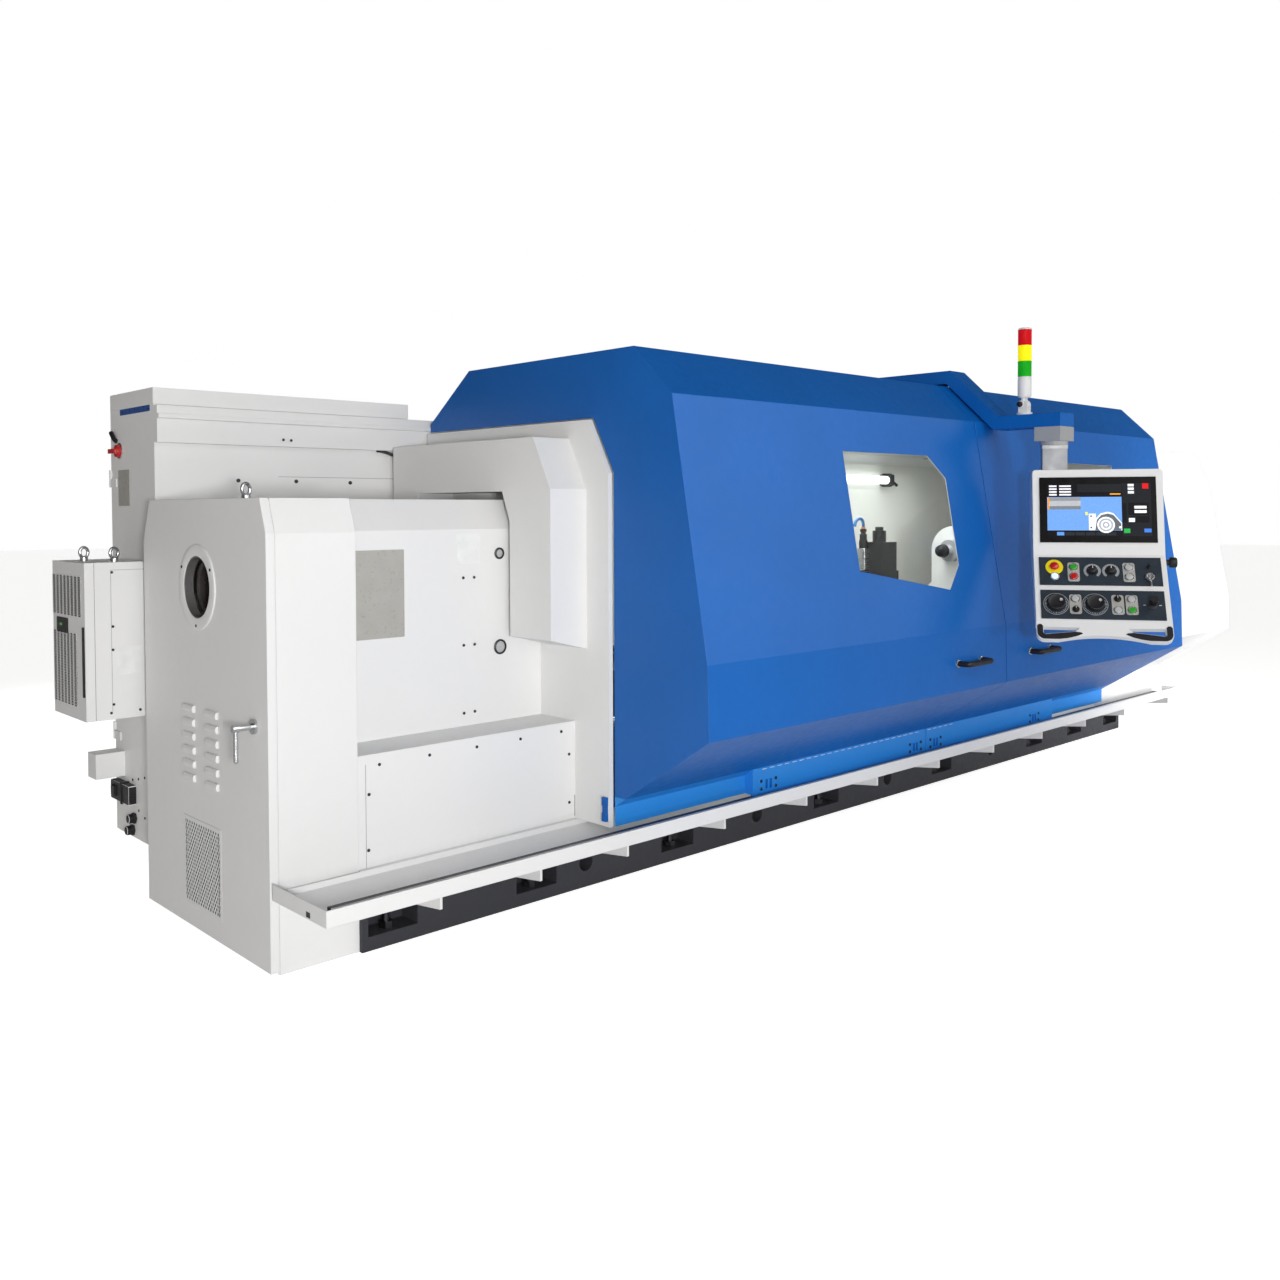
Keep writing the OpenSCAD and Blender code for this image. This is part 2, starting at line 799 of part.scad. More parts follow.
// Door handle: a rose, a neck and a lever that hangs down
module door_handle() {
    y = handle_inset - lower_front;
    color("silver") {
        rod_x(end_x0 - 8 - slide_gap, end_x0 - slide_gap, y, handle_z, 44);
        rod_x(end_x0 - 56, end_x0 - 8, y, handle_z, 18);
        rod_x(end_x0 - 66, end_x0 - 46, y, handle_z, 22);
        translate([end_x0 - 56, y, handle_z - 92]) cylinder(h = 92, d = 14);
        translate([end_x0 - 56, y, handle_z - 92]) sphere(d = 14);
    }
}

module headstock_cover() {
    color("whitesmoke") along_x(bed_x0, guard_x0) polygon(band([
        [-head_half, ledge_z], [-head_half, head_h - head_chamfer_h],
        [head_chamfer_w - head_half, head_h], [head_half - head_chamfer_w, head_h],
        [head_half, head_h - head_chamfer_h], [head_half, plinth_h]
    ], -sheet));
}

// Lower cover: front panel with a ledge that meets the headstock cover
module lower_cover() {
    color("whitesmoke") along_x(bed_x0, guard_x0) polygon(band([
        [-lower_front, rail_seat], [-lower_front, ledge_z], [-head_half, ledge_z]
    ], -sheet));
}

module eyebolt(x, y, z, ring)
    translate([x, y, z]) {
        cylinder(h = ring * 0.35, d = ring * 0.75);
        translate([0, 0, ring * 0.85]) rotate([90, 0, 25]) rotate_extrude()
            translate([ring / 2, 0]) circle(d = ring * 0.3);
    }

module eyebolts() {
    color("silver") {
        eyebolt(end_x0 + end_w / 2, -40, end_h, 36);
        eyebolt(cab_x0 - cool_d + 60, cab_y0 + 185, cool_z + cool_h, 34);
        eyebolt(cab_x0 - cool_d + 112, cab_y0 + 50, cool_z + cool_h, 34);
    }
}

// Splash guard: the wall at the spindle nose and the raised frame round the headstock
module splash_guard() {
    gap_half = head_half + frame_gap;
    gap_top = head_h + frame_gap;
    color("whitesmoke") {
        along_x(guard_x0, guard_x1) difference() {
            polygon([
                [-guard_front, rail_seat], guard_line[1], guard_line[2], guard_line[3],
                [guard_rear, rail_seat]
            ]);
            translate([0, spindle_z]) circle(d = nose_d + 2 * nose_gap);
        }
        difference() {
            along_x(guard_x0 - frame_l, guard_x0) difference() {
                polygon([
                    [-frame_front, frame_foot_z], [-frame_front, frame_top - frame_chamfer_h],
                    [frame_chamfer_w - frame_front, frame_top], [guard_rear, frame_top],
                    [guard_rear, frame_foot_z]
                ]);
                polygon([
                    [-gap_half, 0], [-gap_half, gap_top - head_chamfer_h], [42 - gap_half, gap_top],
                    [gap_half - 42, gap_top], [gap_half, gap_top - head_chamfer_h], [gap_half, 0]
                ]);
            }
            translate([0, guard_rear + eps, 0]) rotate([90, 0, 0]) linear_extrude(height = 2 * guard_front)
                polygon([
                    [guard_x0 - frame_l - eps, frame_foot_z - eps], [guard_x0, frame_foot_z - eps],
                    [guard_x0, frame_foot_z], [guard_x0 - frame_l - eps, frame_foot_z + frame_foot_rise]
                ]);
        }
    }
}

// Hoods: folded sheet with an end wall, an inner flange at the seam and a window
upper_face = [-bulge_y, bulge_z] - [-brow_y, brow_z];
face_lean = atan2(-upper_face[0], -upper_face[1]);

// Draws on the upper face: X along the bed from the seam, Y up the face from its upper bend, Z outwards
module on_upper_face()
    translate([0, -brow_y, brow_z]) rotate([90 - face_lean, 0, 0]) children();

module window_outline(grow) {
    near = window_near - grow;
    far = window_far + grow;
    top = grow - window_top;
    sill = -window_top - window_h - grow;
    polygon([
        [far, top], [near + window_chamfer_w, top], [near, top - window_chamfer_h],
        [near, sill], [near + window_chamfer_h, sill - sill_drop], [far, sill]
    ]);
}

// Height of the lower slope's outer face at a distance in front of the axis
function slope_z(y) = skirt_z + (y - skirt_y) * (belly_z - skirt_z) / (belly_y - skirt_y);

// One hood to the right of the seam: the end wall has the outline of what it slides over cut out
module hood(opening, shift) {
    inner = offset_line(hood_line, hood_t);
    deep = offset_line(hood_line, seam_flange);
    color("royalblue") {
        difference() {
            along_x(0, hood_l) polygon(band(hood_line, hood_t));
            translate([shift - seam_gap / 2, 0, 0]) on_upper_face()
                translate([0, 0, -3 * hood_t]) linear_extrude(height = 5 * hood_t) window_outline(0);
        }
        along_x(hood_l - hood_t, hood_l) difference() {
            polygon(concat(inner, [[hood_rear - hood_t, skirt_foot_z]]));
            polygon(opening);
        }
        along_x(0, hood_t) polygon(concat(inner, reversed(deep)));
        along_x(0, runner_l) polygon([
            [-runner_y, track_top + slide_gap], [-runner_y, slope_z(runner_y) + hood_t / 2],
            [runner_t - runner_y, slope_z(runner_y - runner_t) + hood_t / 2],
            [runner_t - runner_y, track_top + slide_gap]
        ]);
        along_x(runner_l - hood_t, runner_l) polygon([
            [-runner_y, skirt_foot_z], [-runner_y, slope_z(runner_y)],
            [-skirt_y, skirt_z + hood_t / 2], [-skirt_y + hood_t / 2, skirt_foot_z]
        ]);
    }
}

module pane(shift) {
    color("lightcyan", 0.4) translate([shift - seam_gap / 2, 0, 0]) on_upper_face()
        translate([0, 0, -hood_t - pane_t]) linear_extrude(height = pane_t) window_outline(pane_lap);
}

module grip() {
    bar = belly_y + grip_depth - grip_d / 2;
    seat = bulge_y - (bulge_y - belly_y) * (bulge_z - grip_z) / (bulge_z - belly_z);
    color("black") {
        rod_x(grip_x - grip_l / 2, grip_x + grip_l / 2, -bar, grip_z, grip_d);
        for (s = [-1, 1])
            translate([grip_x + s * (grip_l / 2 - grip_d), -bar, grip_z]) rotate([-90, 0, 0])
                cylinder(h = bar - 2 * slide_gap - seat, d = grip_d);
    }
}

module right_side() translate([seam_x1, 0, 0]) children();
module left_side() translate([seam_x0, 0, 0]) mirror([1, 0, 0]) children();
guard_opening = concat(portal_line, [[hood_rear + 100, guard_top + portal_gap], [hood_rear + 100, 0]]);
cover_edge = offset_line(cover_line, -portal_gap);
cover_opening = concat([[hood_rear + 100, 0], [hood_rear + 100, cover_top + portal_gap]], cover_edge);

module left_hood() left_side() hood(guard_opening, 0);
module right_hood() right_side() hood(cover_opening, window_shift);
module left_window() left_side() pane(0);
module right_window() right_side() pane(window_shift);
module left_grip() left_side() grip();
module right_grip() right_side() grip();

// Rail: a tray along the front with the hoods' track in it, carried on brackets
bracket_row = concat(
    [for (i = [0:7]) guard_x1 + 415 + bracket_pitch * i],
    [for (i = [0:2]) bed_x0 + 85 + 358 * i],
    [bed_x1 - 6]
);

module front_rail() {
    color("whitesmoke") {
        along_x(rail_x0, rail_x1) polygon([
            [-rail_front, rail_bottom], [-rail_front, rail_top], [sheet - rail_front, rail_top],
            [sheet - rail_front, rail_floor], [-bed_front - sheet, rail_floor],
            [-bed_front - sheet, rail_seat],
            [-bed_front, rail_seat], [-bed_front, rail_bottom]
        ]);
        block(bed_x0, bed_x1, -bed_front - eps, 2 * sheet - lower_front, plinth_h, rail_seat);
        block(rail_x0, rail_x0 + sheet, -rail_front, -bed_front, rail_bottom, rail_top);
        block(rail_x1 - sheet, rail_x1, -rail_front, -runner_y - sheet, rail_bottom, rail_top);
        block(rail_x0 + 60, rail_x1 - 60, -runner_y - 2, track_w - runner_y - 2, rail_floor, track_top);
        for (x = bracket_row)
            along_x(x - bracket_t / 2, x + bracket_t / 2) polygon([
                [-bed_front, rail_bottom], [-bed_front, rail_bottom - bracket_h],
                [-bed_front - 110, rail_bottom - bracket_tip - 22],
                [16 - rail_front, rail_bottom - bracket_tip], [16 - rail_front, rail_bottom]
            ]);
    }
}

module right_cover() {
    color("whitesmoke") {
        along_x(cover_x0, cover_x1) polygon(band(cover_line, sheet));
        along_x(cover_x1 - sheet, cover_x1)
            polygon(concat(offset_line(cover_line, sheet), [[beam_y, rail_floor]]));
    }
}

// Rear wall of the work space, with a fold at its top that meets the guide beam
module rear_wall() {
    color("lightgray") along_x(guard_x1, cover_x1 - sheet) polygon(band([
        [wall_y, plinth_h], [wall_y, wall_top], [beam_y, wall_top]
    ], -sheet));
}

// Guide beam: carries the rear edge of the hoods along the whole machine
module guide_beam() {
    color("whitesmoke") {
        block(cab_x0, cover_x1, beam_y, bed_rear, beam_top - beam_h, beam_top);
        block(cab_x0, cover_x1, hood_rear + slide_gap, beam_y,
              guard_top + portal_gap + 4, guard_top + portal_gap + 20);
    }
}

module work_lamp() {
    z = wall_top - lamp_drop;
    half = lamp_d * 0.65;
    color("white") {
        rod_x(lamp_x, lamp_x + lamp_l, wall_y - lamp_d, z, lamp_d);
        for (x = [lamp_x - half, lamp_x + lamp_l])
            block(x, x + half, wall_y - lamp_d - half, wall_y, z - half, z + half);
    }
}

// Ball screw in its end blocks on the bed's web
module ball_screw() {
    y = -car_half + apron_t / 2;
    color("silver") {
        rod_x(guard_x1 + 14, bed_x1 - 80, y, ball_z, ball_d);
        for (x = [guard_x1 + 20, bed_x1 - 130])
            block(x, x + 50, y - 30, -web_half, ball_z - 40, ball_z + 40);
    }
}

// Underside that rides on the ways: flat on one, prism on the other
function ride_line(half) = [
    [half, way_z + slide_gap],
    [prism_rise * way_w / 2 / (way_h + prism_rise) - way_y, way_z + slide_gap],
    [-way_y, way_z + prism_rise + 2 * slide_gap],
    [-prism_rise * way_w / 2 / (way_h + prism_rise) - way_y, way_z + slide_gap],
    [-half, way_z + slide_gap]
];

module carriage() {
    inner = car_half - apron_t;
    color("gainsboro") {
        difference() {
            along_x(car_x - car_l / 2, car_x + car_l / 2) polygon(concat(
                [[-car_half, car_top], [car_half, car_top], [car_half, way_z - 80], [inner, way_z - 80]],
                ride_line(inner),
                [[-inner, car_top - apron_h], [-car_half, car_top - apron_h]]
            ));
            rod_x(car_x - car_l, car_x + car_l, -car_half + apron_t / 2, ball_z, ball_d + 2 * run_gap);
        }
        block(car_x - cross_way_w / 2, car_x + cross_way_w / 2, -car_half, car_half,
              car_top, car_top + cross_way_h);
    }
}

module cross_slide() {
    way = cross_way_w / 2 + slide_gap;
    color("silver") difference() {
        block(car_x - cross_w / 2, car_x + cross_w / 2, cross_rear - cross_l, cross_rear,
              car_top + slide_gap, car_top + cross_t);
        block(car_x - way, car_x + way, -2 * car_half, car_half, car_top, car_top + cross_way_h + slide_gap);
    }
}

// Tool post: a riser with a flange, the tool holder with its bar, and the clamp column on top
module tool_post() {
    z0 = car_top + cross_t;
    z1 = spindle_z - holder_h / 2;
    half = holder_w / 2;
    color("dimgray") translate([car_x, -post_y, 0]) {
        block(-post_w / 2, post_w / 2, -post_w / 2, post_w / 2, z0, z0 + 40);
        block(-post_w / 2 + 18, post_w / 2 - 18, -post_w / 2 + 18, post_w / 2 - 18, z0 + 40, z1);
        difference() {
            block(-half, half, -half, half, z1, z1 + holder_h);
            block(-half - eps, half + eps, half - 28, half + eps, spindle_z, spindle_z + tool_h / 2);
        }
        block(-tool_h / 2, tool_h / 2, 0, half + tool_reach, spindle_z - tool_h, spindle_z);
        translate([0, 0, z1 + holder_h]) cylinder(h = clamp_h, d = clamp_d);
        translate([0, 0, z1 + holder_h + clamp_h]) cylinder(h = 18, d = clamp_d * 0.6, $fn = 6);
        translate([half + 20, 0, z1 + 20]) cylinder(h = holder_h - 50, d = 44);
    }
}

// Tailstock: a waisted casting on the ways with the quill's barrel
module tailstock() {
    color("whitesmoke") difference() {
        union() {
            along_x(tail_x - tail_l / 2, tail_x + tail_l / 2) polygon(concat(
                [[-tail_half, car_top], [-barrel_d / 2, car_top + 90], [-barrel_d / 2, spindle_z],
                 [barrel_d / 2, spindle_z], [barrel_d / 2, car_top + 90], [tail_half, car_top]],
                ride_line(tail_half)
            ));
            rod_x(tail_x - tail_l / 2, tail_x + tail_l / 2, 0, spindle_z, barrel_d);
        }
        rod_x(tail_x - tail_l / 2 - eps, tail_x + tail_l / 2 - 20, 0, spindle_z, quill_d + 2 * run_gap);
    }
}

module quill() {
    x0 = tail_x - tail_l / 2 - nose_l;
    color("dimgray") {
        rod_x(x0, tail_x + tail_l / 2 - 180, 0, spindle_z, quill_d);
        translate([x0, 0, spindle_z]) rotate([0, -90, 0]) cylinder(h = 50, d1 = 66, d2 = 6);
    }
}

// Cabinet: an open-backed box on two beams from the bed, with its mounting plate inside
module cabinet() {
    y1 = cab_y1 - leaf_t;
    color("whitesmoke") {
        difference() {
            union() {
                block(cab_x0, cab_x1, cab_y0, y1, cab_z, cab_top - cap_h);
                block(cab_x0 - cap_over, cab_x1, cab_y0 - cap_over, y1, cab_top - cap_h, cab_top);
            }
            block(cab_x0 + cab_t, cab_x1 - cab_t, cab_y0 + cab_t, y1 + eps, cab_z + cab_t, cab_top - cab_t);
        }
        for (z = leaf_hinge_row) {
            leaf_strap(cab_x0 - cab_t, cab_x0 + 1, z);
            leaf_strap(cab_x1, cab_x1 - 1, z);
        }
        for (x = [cab_x0 + 240, cab_x1 - 160])
            block(x, x + 80, bed_rear, cab_y1 - leaf_t, cab_z - 85, cab_z);
        block(cab_x0 + 60, cab_x1 - 60, cab_y0 + cab_t, cab_y0 + cab_t + 16, cab_z + 100, cab_top - 160);
        for (i = [0:5])
            block(cab_x0 + 90 + 136 * i, cab_x0 + 200 + 136 * i, cab_y0 + cab_t + 16, cab_y0 + 150,
                  cab_top - 600, cab_top - 250);
        for (i = [0:8])
            block(cab_x0 + 90 + 90 * i, cab_x0 + 150 + 90 * i, cab_y0 + cab_t + 16, cab_y0 + 110,
                  cab_top - 930, cab_top - 790);
        block(cab_x0 - supply_d, cab_x0, cab_y0 + 320, cab_y0 + 320 + supply_w,
              supply_z, supply_z + supply_h);
        block(cab_x0 - socket_d, cab_x0, cab_y0 + 216, cab_y0 + 390, supply_z - 86, supply_z - 19);
        for (z = [supply_z - 136, supply_z - 181])
            rod_x(cab_x0 - socket_d, cab_x0, cab_y0 + 229 + (supply_z - 136 - z) * 0.4, z, 30);
    }
}

// Cabinet hinges: the cabinet's half is a strap with a barrel, the door's half the barrel above it
leaf_hinge_row = [cab_z + 330, cab_top - 330];

module leaf_barrel(x, z, d) translate([x, cab_y1, z]) cylinder(h = hinge_l / 2, d = d);

module leaf_strap(x, axis, z) {
    block(x, x + cab_t, cab_y1 - 60, cab_y1, z, z + hinge_l / 2);
    leaf_barrel(axis, z, hinge_d);
}

module leaf(x0, x1, axis) {
    color("whitesmoke") {
        difference() {
            block(x0, x1, cab_y1 - leaf_t + slide_gap, cab_y1, cab_z, cab_top);
            block(x0 + cab_t, x1 - cab_t, cab_y1 - leaf_t, cab_y1 - cab_t, cab_z + cab_t, cab_top - cab_t);
            for (z = leaf_hinge_row)
                translate([axis, cab_y1, z - 1]) cylinder(h = hinge_l / 2 + 2, d = hinge_d + 2);
        }
        for (z = leaf_hinge_row) leaf_barrel(axis, z + hinge_l / 2 + 2, hinge_d);
    }
}

module cabinet_door_left() leaf(cab_x0 + 1, (cab_x0 + cab_x1) / 2 - 1, cab_x0 + 1);
module cabinet_door_right() leaf((cab_x0 + cab_x1) / 2 + 1, cab_x1 - 1, cab_x1 - 1);

// Cooling unit: a box on the cabinet's side with two vent fields and a display between them
module cooling_unit() {
    x0 = cab_x0 - cool_d;
    top = cool_z + cool_h;
    color("gainsboro") difference() {
        block(x0, cab_x0, cab_y0, cab_y0 + cool_w, cool_z, top);
        block(x0 + 3, cab_x0 - 30, cab_y0 + 25, cab_y0 + cool_w - 12, cool_z + 30, top - 30);
        for (i = [0:7], j = [0:6])
            block(x0 - eps, x0 + 4, cab_y0 + 42 + 38 * j, cab_y0 + 66 + 38 * j,
                  top - 64 - 15.5 * i, top - 55 - 15.5 * i);
        for (i = [0:12], j = [0:5])
            block(x0 - eps, x0 + 4, cab_y0 + 80 + 38 * j, cab_y0 + 104 + 38 * j,
                  cool_z + 48 + 17 * i, cool_z + 57 + 17 * i);
        block(x0 - eps, x0 + 2, cab_y0 + 168, cab_y0 + 270, cool_z + 283, cool_z + 330);
    }
    color("dimgray") block(x0 - cool_strip, x0, cab_y0 + 5, cab_y0 + 17, cool_z + 81, cool_z + 310);
}

module main_switch() {
    y = cab_y0 + 320;
    color("firebrick") {
        rod_x(cab_x0 - 14, cab_x0 - slide_gap, y, switch_z, 44);
        block(cab_x0 - 24, cab_x0 - 14, y - 8, y + 52, switch_z - 8, switch_z + 8);
    }
}

// Control arm: column behind the machine, over the roof, and down to the operator's side
module control_arm() {
    top = arm_z + arm_t;
    drop = arm_t * tan((180 - atan2(arm_z - arm_low_z, arm_low_y - arm_bend_y)) / 2 - 67.5) + 19;
    color("royalblue") along_x(arm_x, arm_x + arm_w) polygon([
        [column_y, column_foot_z], [column_y, arm_z], [-arm_bend_y, arm_z], [-arm_low_y, arm_low_z],
        [-arm_reach, arm_low_z], [-arm_reach, arm_low_z + arm_t], [-arm_low_y - drop, arm_low_z + arm_t],
        [-arm_bend_y - drop, top], [column_y + column_d, top], [column_y + column_d, column_foot_z]
    ]);
}

// Arm head: the box under the arm's end with the swivel's collar
module arm_head() {
    color("darkgray") difference() {
        union() {
            block(arm_x, arm_x + arm_w, -arm_reach, headbox_l - arm_reach, head_bottom, arm_low_z);
            translate([stem_x, stem_y, collar_bottom]) cylinder(h = collar_h, d = collar_d);
        }
        translate([stem_x, stem_y, collar_bottom - eps])
            cylinder(h = collar_h + 31, d = swivel_d + 2 * run_gap);
    }
}

// Panel frame: X to the right along the panel, Y away from the operator, from the swivel axis
module panel_frame() translate([stem_x, stem_y, 0]) rotate([0, 0, -panel_yaw]) children();

// The two faces: X along the fold, Y up the face from the fold, Z out of the face
module on_face(tilt) panel_frame() translate([0, -fold_y, fold_z]) rotate([90 - tilt, 0, 0]) children();
module on_screen_face() on_face(screen_tilt) children();
module on_desk() on_face(desk_tilt) children();
panel_mid = panel_w / 2 - panel_left;
plate_y = -plate_gap - plate_h;

module round_rect(x0, x1, y0, y1, r) {
    translate([x0 + r, y0]) square([x1 - x0 - 2 * r, y1 - y0]);
    translate([x0, y0 + r]) square([x1 - x0, y1 - y0 - 2 * r]);
    for (x = [x0 + r, x1 - r], y = [y0 + r, y1 - r]) translate([x, y]) circle(r = r);
}

// Grip frame: two finger slots and a hollow lower edge
module grip_frame() {
    y0 = -desk_l - grip_frame_l;
    rise = 21;
    bow = (330 * 330 / 4 + rise * rise) / 2 / rise;
    difference() {
        round_rect(-panel_left, panel_w - panel_left, y0, 40 - desk_l, 30);
        translate([panel_mid, y0 - bow + rise]) circle(r = bow, $fn = 256);
        for (s = [-1, 1])
            translate([panel_mid, 0]) scale([s, 1]) polygon([
                [-panel_w / 2 + 26, -desk_l - 22], [-panel_w / 2 + 158, -desk_l - 24],
                [-panel_w / 2 + 142, -desk_l - 40], [-panel_w / 2 + 26, -desk_l - 54]
            ]);
        translate([-panel_w, 12 - desk_l]) square([2 * panel_w, 100]);
    }
}

module panel() {
    s0 = -panel_left;
    s1 = panel_w - panel_left;
    low = [-fold_y - desk_l * sin(desk_tilt), fold_z - desk_l * cos(desk_tilt)];
    back = stem_w / 2 + 8;
    color("whitesmoke") {
        difference() {
            panel_frame() intersection() {
                along_x(s0, s1) polygon([
                    [screen_face_l * sin(screen_tilt) - fold_y, panel_top], [-fold_y, fold_z], low,
                    low + desk_t * [cos(desk_tilt), -sin(desk_tilt)],
                    [-20, fold_z + 10], [back, fold_z + 80], [back, panel_top]
                ]);
                along_y(-2 * fold_y - desk_l, 2 * back)
                    round_rect(s0, s1, fold_z - 2 * desk_l, panel_top, corner_r);
            }
            on_desk() seat_holes();
        }
        panel_frame() {
            translate([-stem_w / 2, -stem_w / 2, panel_top - 10])
                cube([stem_w, stem_w, stem_top - panel_top + 10]);
            translate([0, 0, stem_top - 10]) cylinder(h = collar_h + 38, d = swivel_d);
        }
        on_desk() translate([0, 0, -grip_frame_t - 1]) linear_extrude(height = grip_frame_t) grip_frame();
    }
}

module screen() {
    color("black") on_screen_face()
        translate([panel_mid - screen_w / 2, screen_gap, 0]) cube([screen_w, screen_h, plate_t]);
}

// Places of the controls on the button face, from the fold
function desk_x(i) = panel_mid - plate_w / 2 + [56, 127, 196, 264, 330, 403][i];
row_a = -plate_gap - 46;
row_b = -plate_gap - 88;
row_c = -plate_gap - plate_pitch - 38;
row_d = -plate_gap - plate_pitch - 86;
dial_row = -plate_gap - 62;
wheel_row = -plate_gap - plate_pitch - 62;
neck_d = 16;
pocket_l = 14;

// Each control's seat: place along the fold, place below it and diameter of its neck
control_seats = [
    [desk_x(0), row_a], [desk_x(0), row_b], [desk_x(1), row_a], [desk_x(1), row_b],
    [desk_x(2), dial_row], [desk_x(3), dial_row], [desk_x(4), row_a], [desk_x(4), row_b],
    [desk_x(5), row_b], [desk_x(0), wheel_row], [desk_x(2) + 2, wheel_row],
    [desk_x(1), row_c], [desk_x(1), row_d], [desk_x(3) + 16, row_c], [desk_x(3) + 16, row_d],
    [desk_x(4), row_c], [desk_x(4), row_d], [desk_x(5), wheel_row]
];

module seat_holes() {
    for (p = control_seats)
        translate([p[0], p[1], -pocket_l]) cylinder(h = pocket_l + plate_t + eps, d = neck_d + 2 * run_gap);
}

module button_plates() {
    color("darkslategray") on_desk() difference() {
        for (i = [0, 1])
            translate([panel_mid - plate_w / 2, plate_y - plate_pitch * i, slide_gap / 3])
                cube([plate_w, plate_h, plate_t]);
        seat_holes();
    }
}

// A control's cap on its neck, standing clear of the plate by its travel
module control(i, d, h, lift)
    on_desk() translate([control_seats[i][0], control_seats[i][1], plate_t]) {
        translate([0, 0, lift - plate_t - pocket_l / 2])
            cylinder(h = plate_t + pocket_l / 2 + slide_gap, d = neck_d);
        translate([0, 0, lift + slide_gap]) cylinder(h = h, d = d);
    }

module push_button(i) control(i, button_d, 7, button_travel);
module emergency_stop() color("red") control(0, estop_d, 16, 4);
module start_button() color("white") push_button(1);
module green_button() color("limegreen") push_button(2);
module red_button() color("firebrick") push_button(3);
module feed_dial() color("dimgray") control(4, dial_d, 20, 0);
module speed_dial() color("dimgray") control(5, dial_d, 20, 0);
module grey_button_a() color("silver") push_button(6);
module grey_button_b() color("silver") push_button(7);
module key_switch() color("silver") {
    control(8, 25, 9, 0);
    on_desk() translate([control_seats[8][0] - 1.5, control_seats[8][1] - 18, plate_t + 9]) cube([3, 24, 26]);
}
module handwheel_x() color("black") control(9, wheel_d, 24, 0);
module handwheel_z() color("black") control(10, wheel_d, 24, 0);
module lamp_button() color("silver") push_button(11);

module selector(i) {
    control(i, button_d, 6, 0);
    on_desk() translate([control_seats[i][0], control_seats[i][1], plate_t + 6])
        translate([-4, -button_d / 2, 0]) cube([8, button_d, 12]);
}

module mode_selector() color("black") selector(12);
module chuck_selector() color("black") selector(13);
module grey_button_c() color("silver") push_button(14);
module grey_button_d() color("silver") push_button(15);
module cycle_button() color("limegreen") push_button(16);

// Joystick: a ball in the plate's seat with a knurled grip on its rod
module joystick() {
    color("black") on_desk() translate([control_seats[17][0], control_seats[17][1], plate_t]) {
        sphere(d = neck_d);
        cylinder(h = 26, d = 9);
        translate([0, 0, 18]) cylinder(h = 34, d = stick_d);
    }
}

// Signal tower: a forked foot on the arm, and the lenses on their body, which fold forward
tower_x = stem_x;
tower_y = arm_reach - tower_back;
pivot_z = arm_low_z + arm_t + pivot_h;

module tower_base() {
    color("whitesmoke") translate([tower_x, -tower_y, 0]) {
        translate([0, 0, arm_low_z + arm_t]) cylinder(h = 12, d = tower_d + 8);
        difference() {
            union() {
                block(-16, 16, -pivot_d / 2, pivot_d / 2, arm_low_z + arm_t + 12, pivot_z);
                rod_x(-16, 16, 0, pivot_z, pivot_d);
            }
            block(-8 - slide_gap, 8 + slide_gap, -pivot_d, pivot_d,
                  pivot_z - pivot_d / 2 - 3, pivot_z + pivot_d);
            rod_x(-20, 20, 0, pivot_z, pivot_pin_d + 2 * run_gap);
        }
    }
}

module tower_light() {
    body_z = pivot_z + pivot_d / 2 + 8;
    lens_z = body_z + tower_body_h;
    color("yellow") translate([tower_x, -tower_y, 0]) {
        rod_x(-8, 8, 0, pivot_z, pivot_d);
        rod_x(-24, 16, 0, pivot_z, pivot_pin_d);
        rod_x(-34, -16 - slide_gap, 0, pivot_z, 30);
        block(-8, 8, -pivot_d / 2, pivot_d / 2, pivot_z, body_z);
        translate([0, 0, body_z]) cylinder(h = tower_body_h, d = tower_d);
        for (i = [0:2]) translate([0, 0, lens_z + lens_h * i]) cylinder(h = lens_h, d = tower_d);
        translate([0, 0, lens_z + 3 * lens_h]) cylinder(h = 8, d = tower_d - 2);
    }
}

bed();
levelling_screws();
headstock();
spindle();
motor_pulley();
drive_belt();
end_cover();
end_door();
door_handle();
headstock_cover();
lower_cover();
eyebolts();
splash_guard();
left_hood();
left_window();
left_grip();
right_hood();
right_window();
right_grip();
front_rail();
right_cover();
rear_wall();
guide_beam();
work_lamp();
ball_screw();
carriage();
cross_slide();
tool_post();
tailstock();
quill();
cabinet();
cabinet_door_left();
cabinet_door_right();
cooling_unit();
main_switch();
control_arm();
arm_head();
panel();
screen();
button_plates();
tower_base();
tower_light();
emergency_stop();
start_button();
green_button();
red_button();
feed_dial();
speed_dial();
grey_button_a();
grey_button_b();
key_switch();
handwheel_x();
handwheel_z();
lamp_button();
mode_selector();
chuck_selector();
grey_button_c();
grey_button_d();
cycle_button();
joystick();
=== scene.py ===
import json
import math

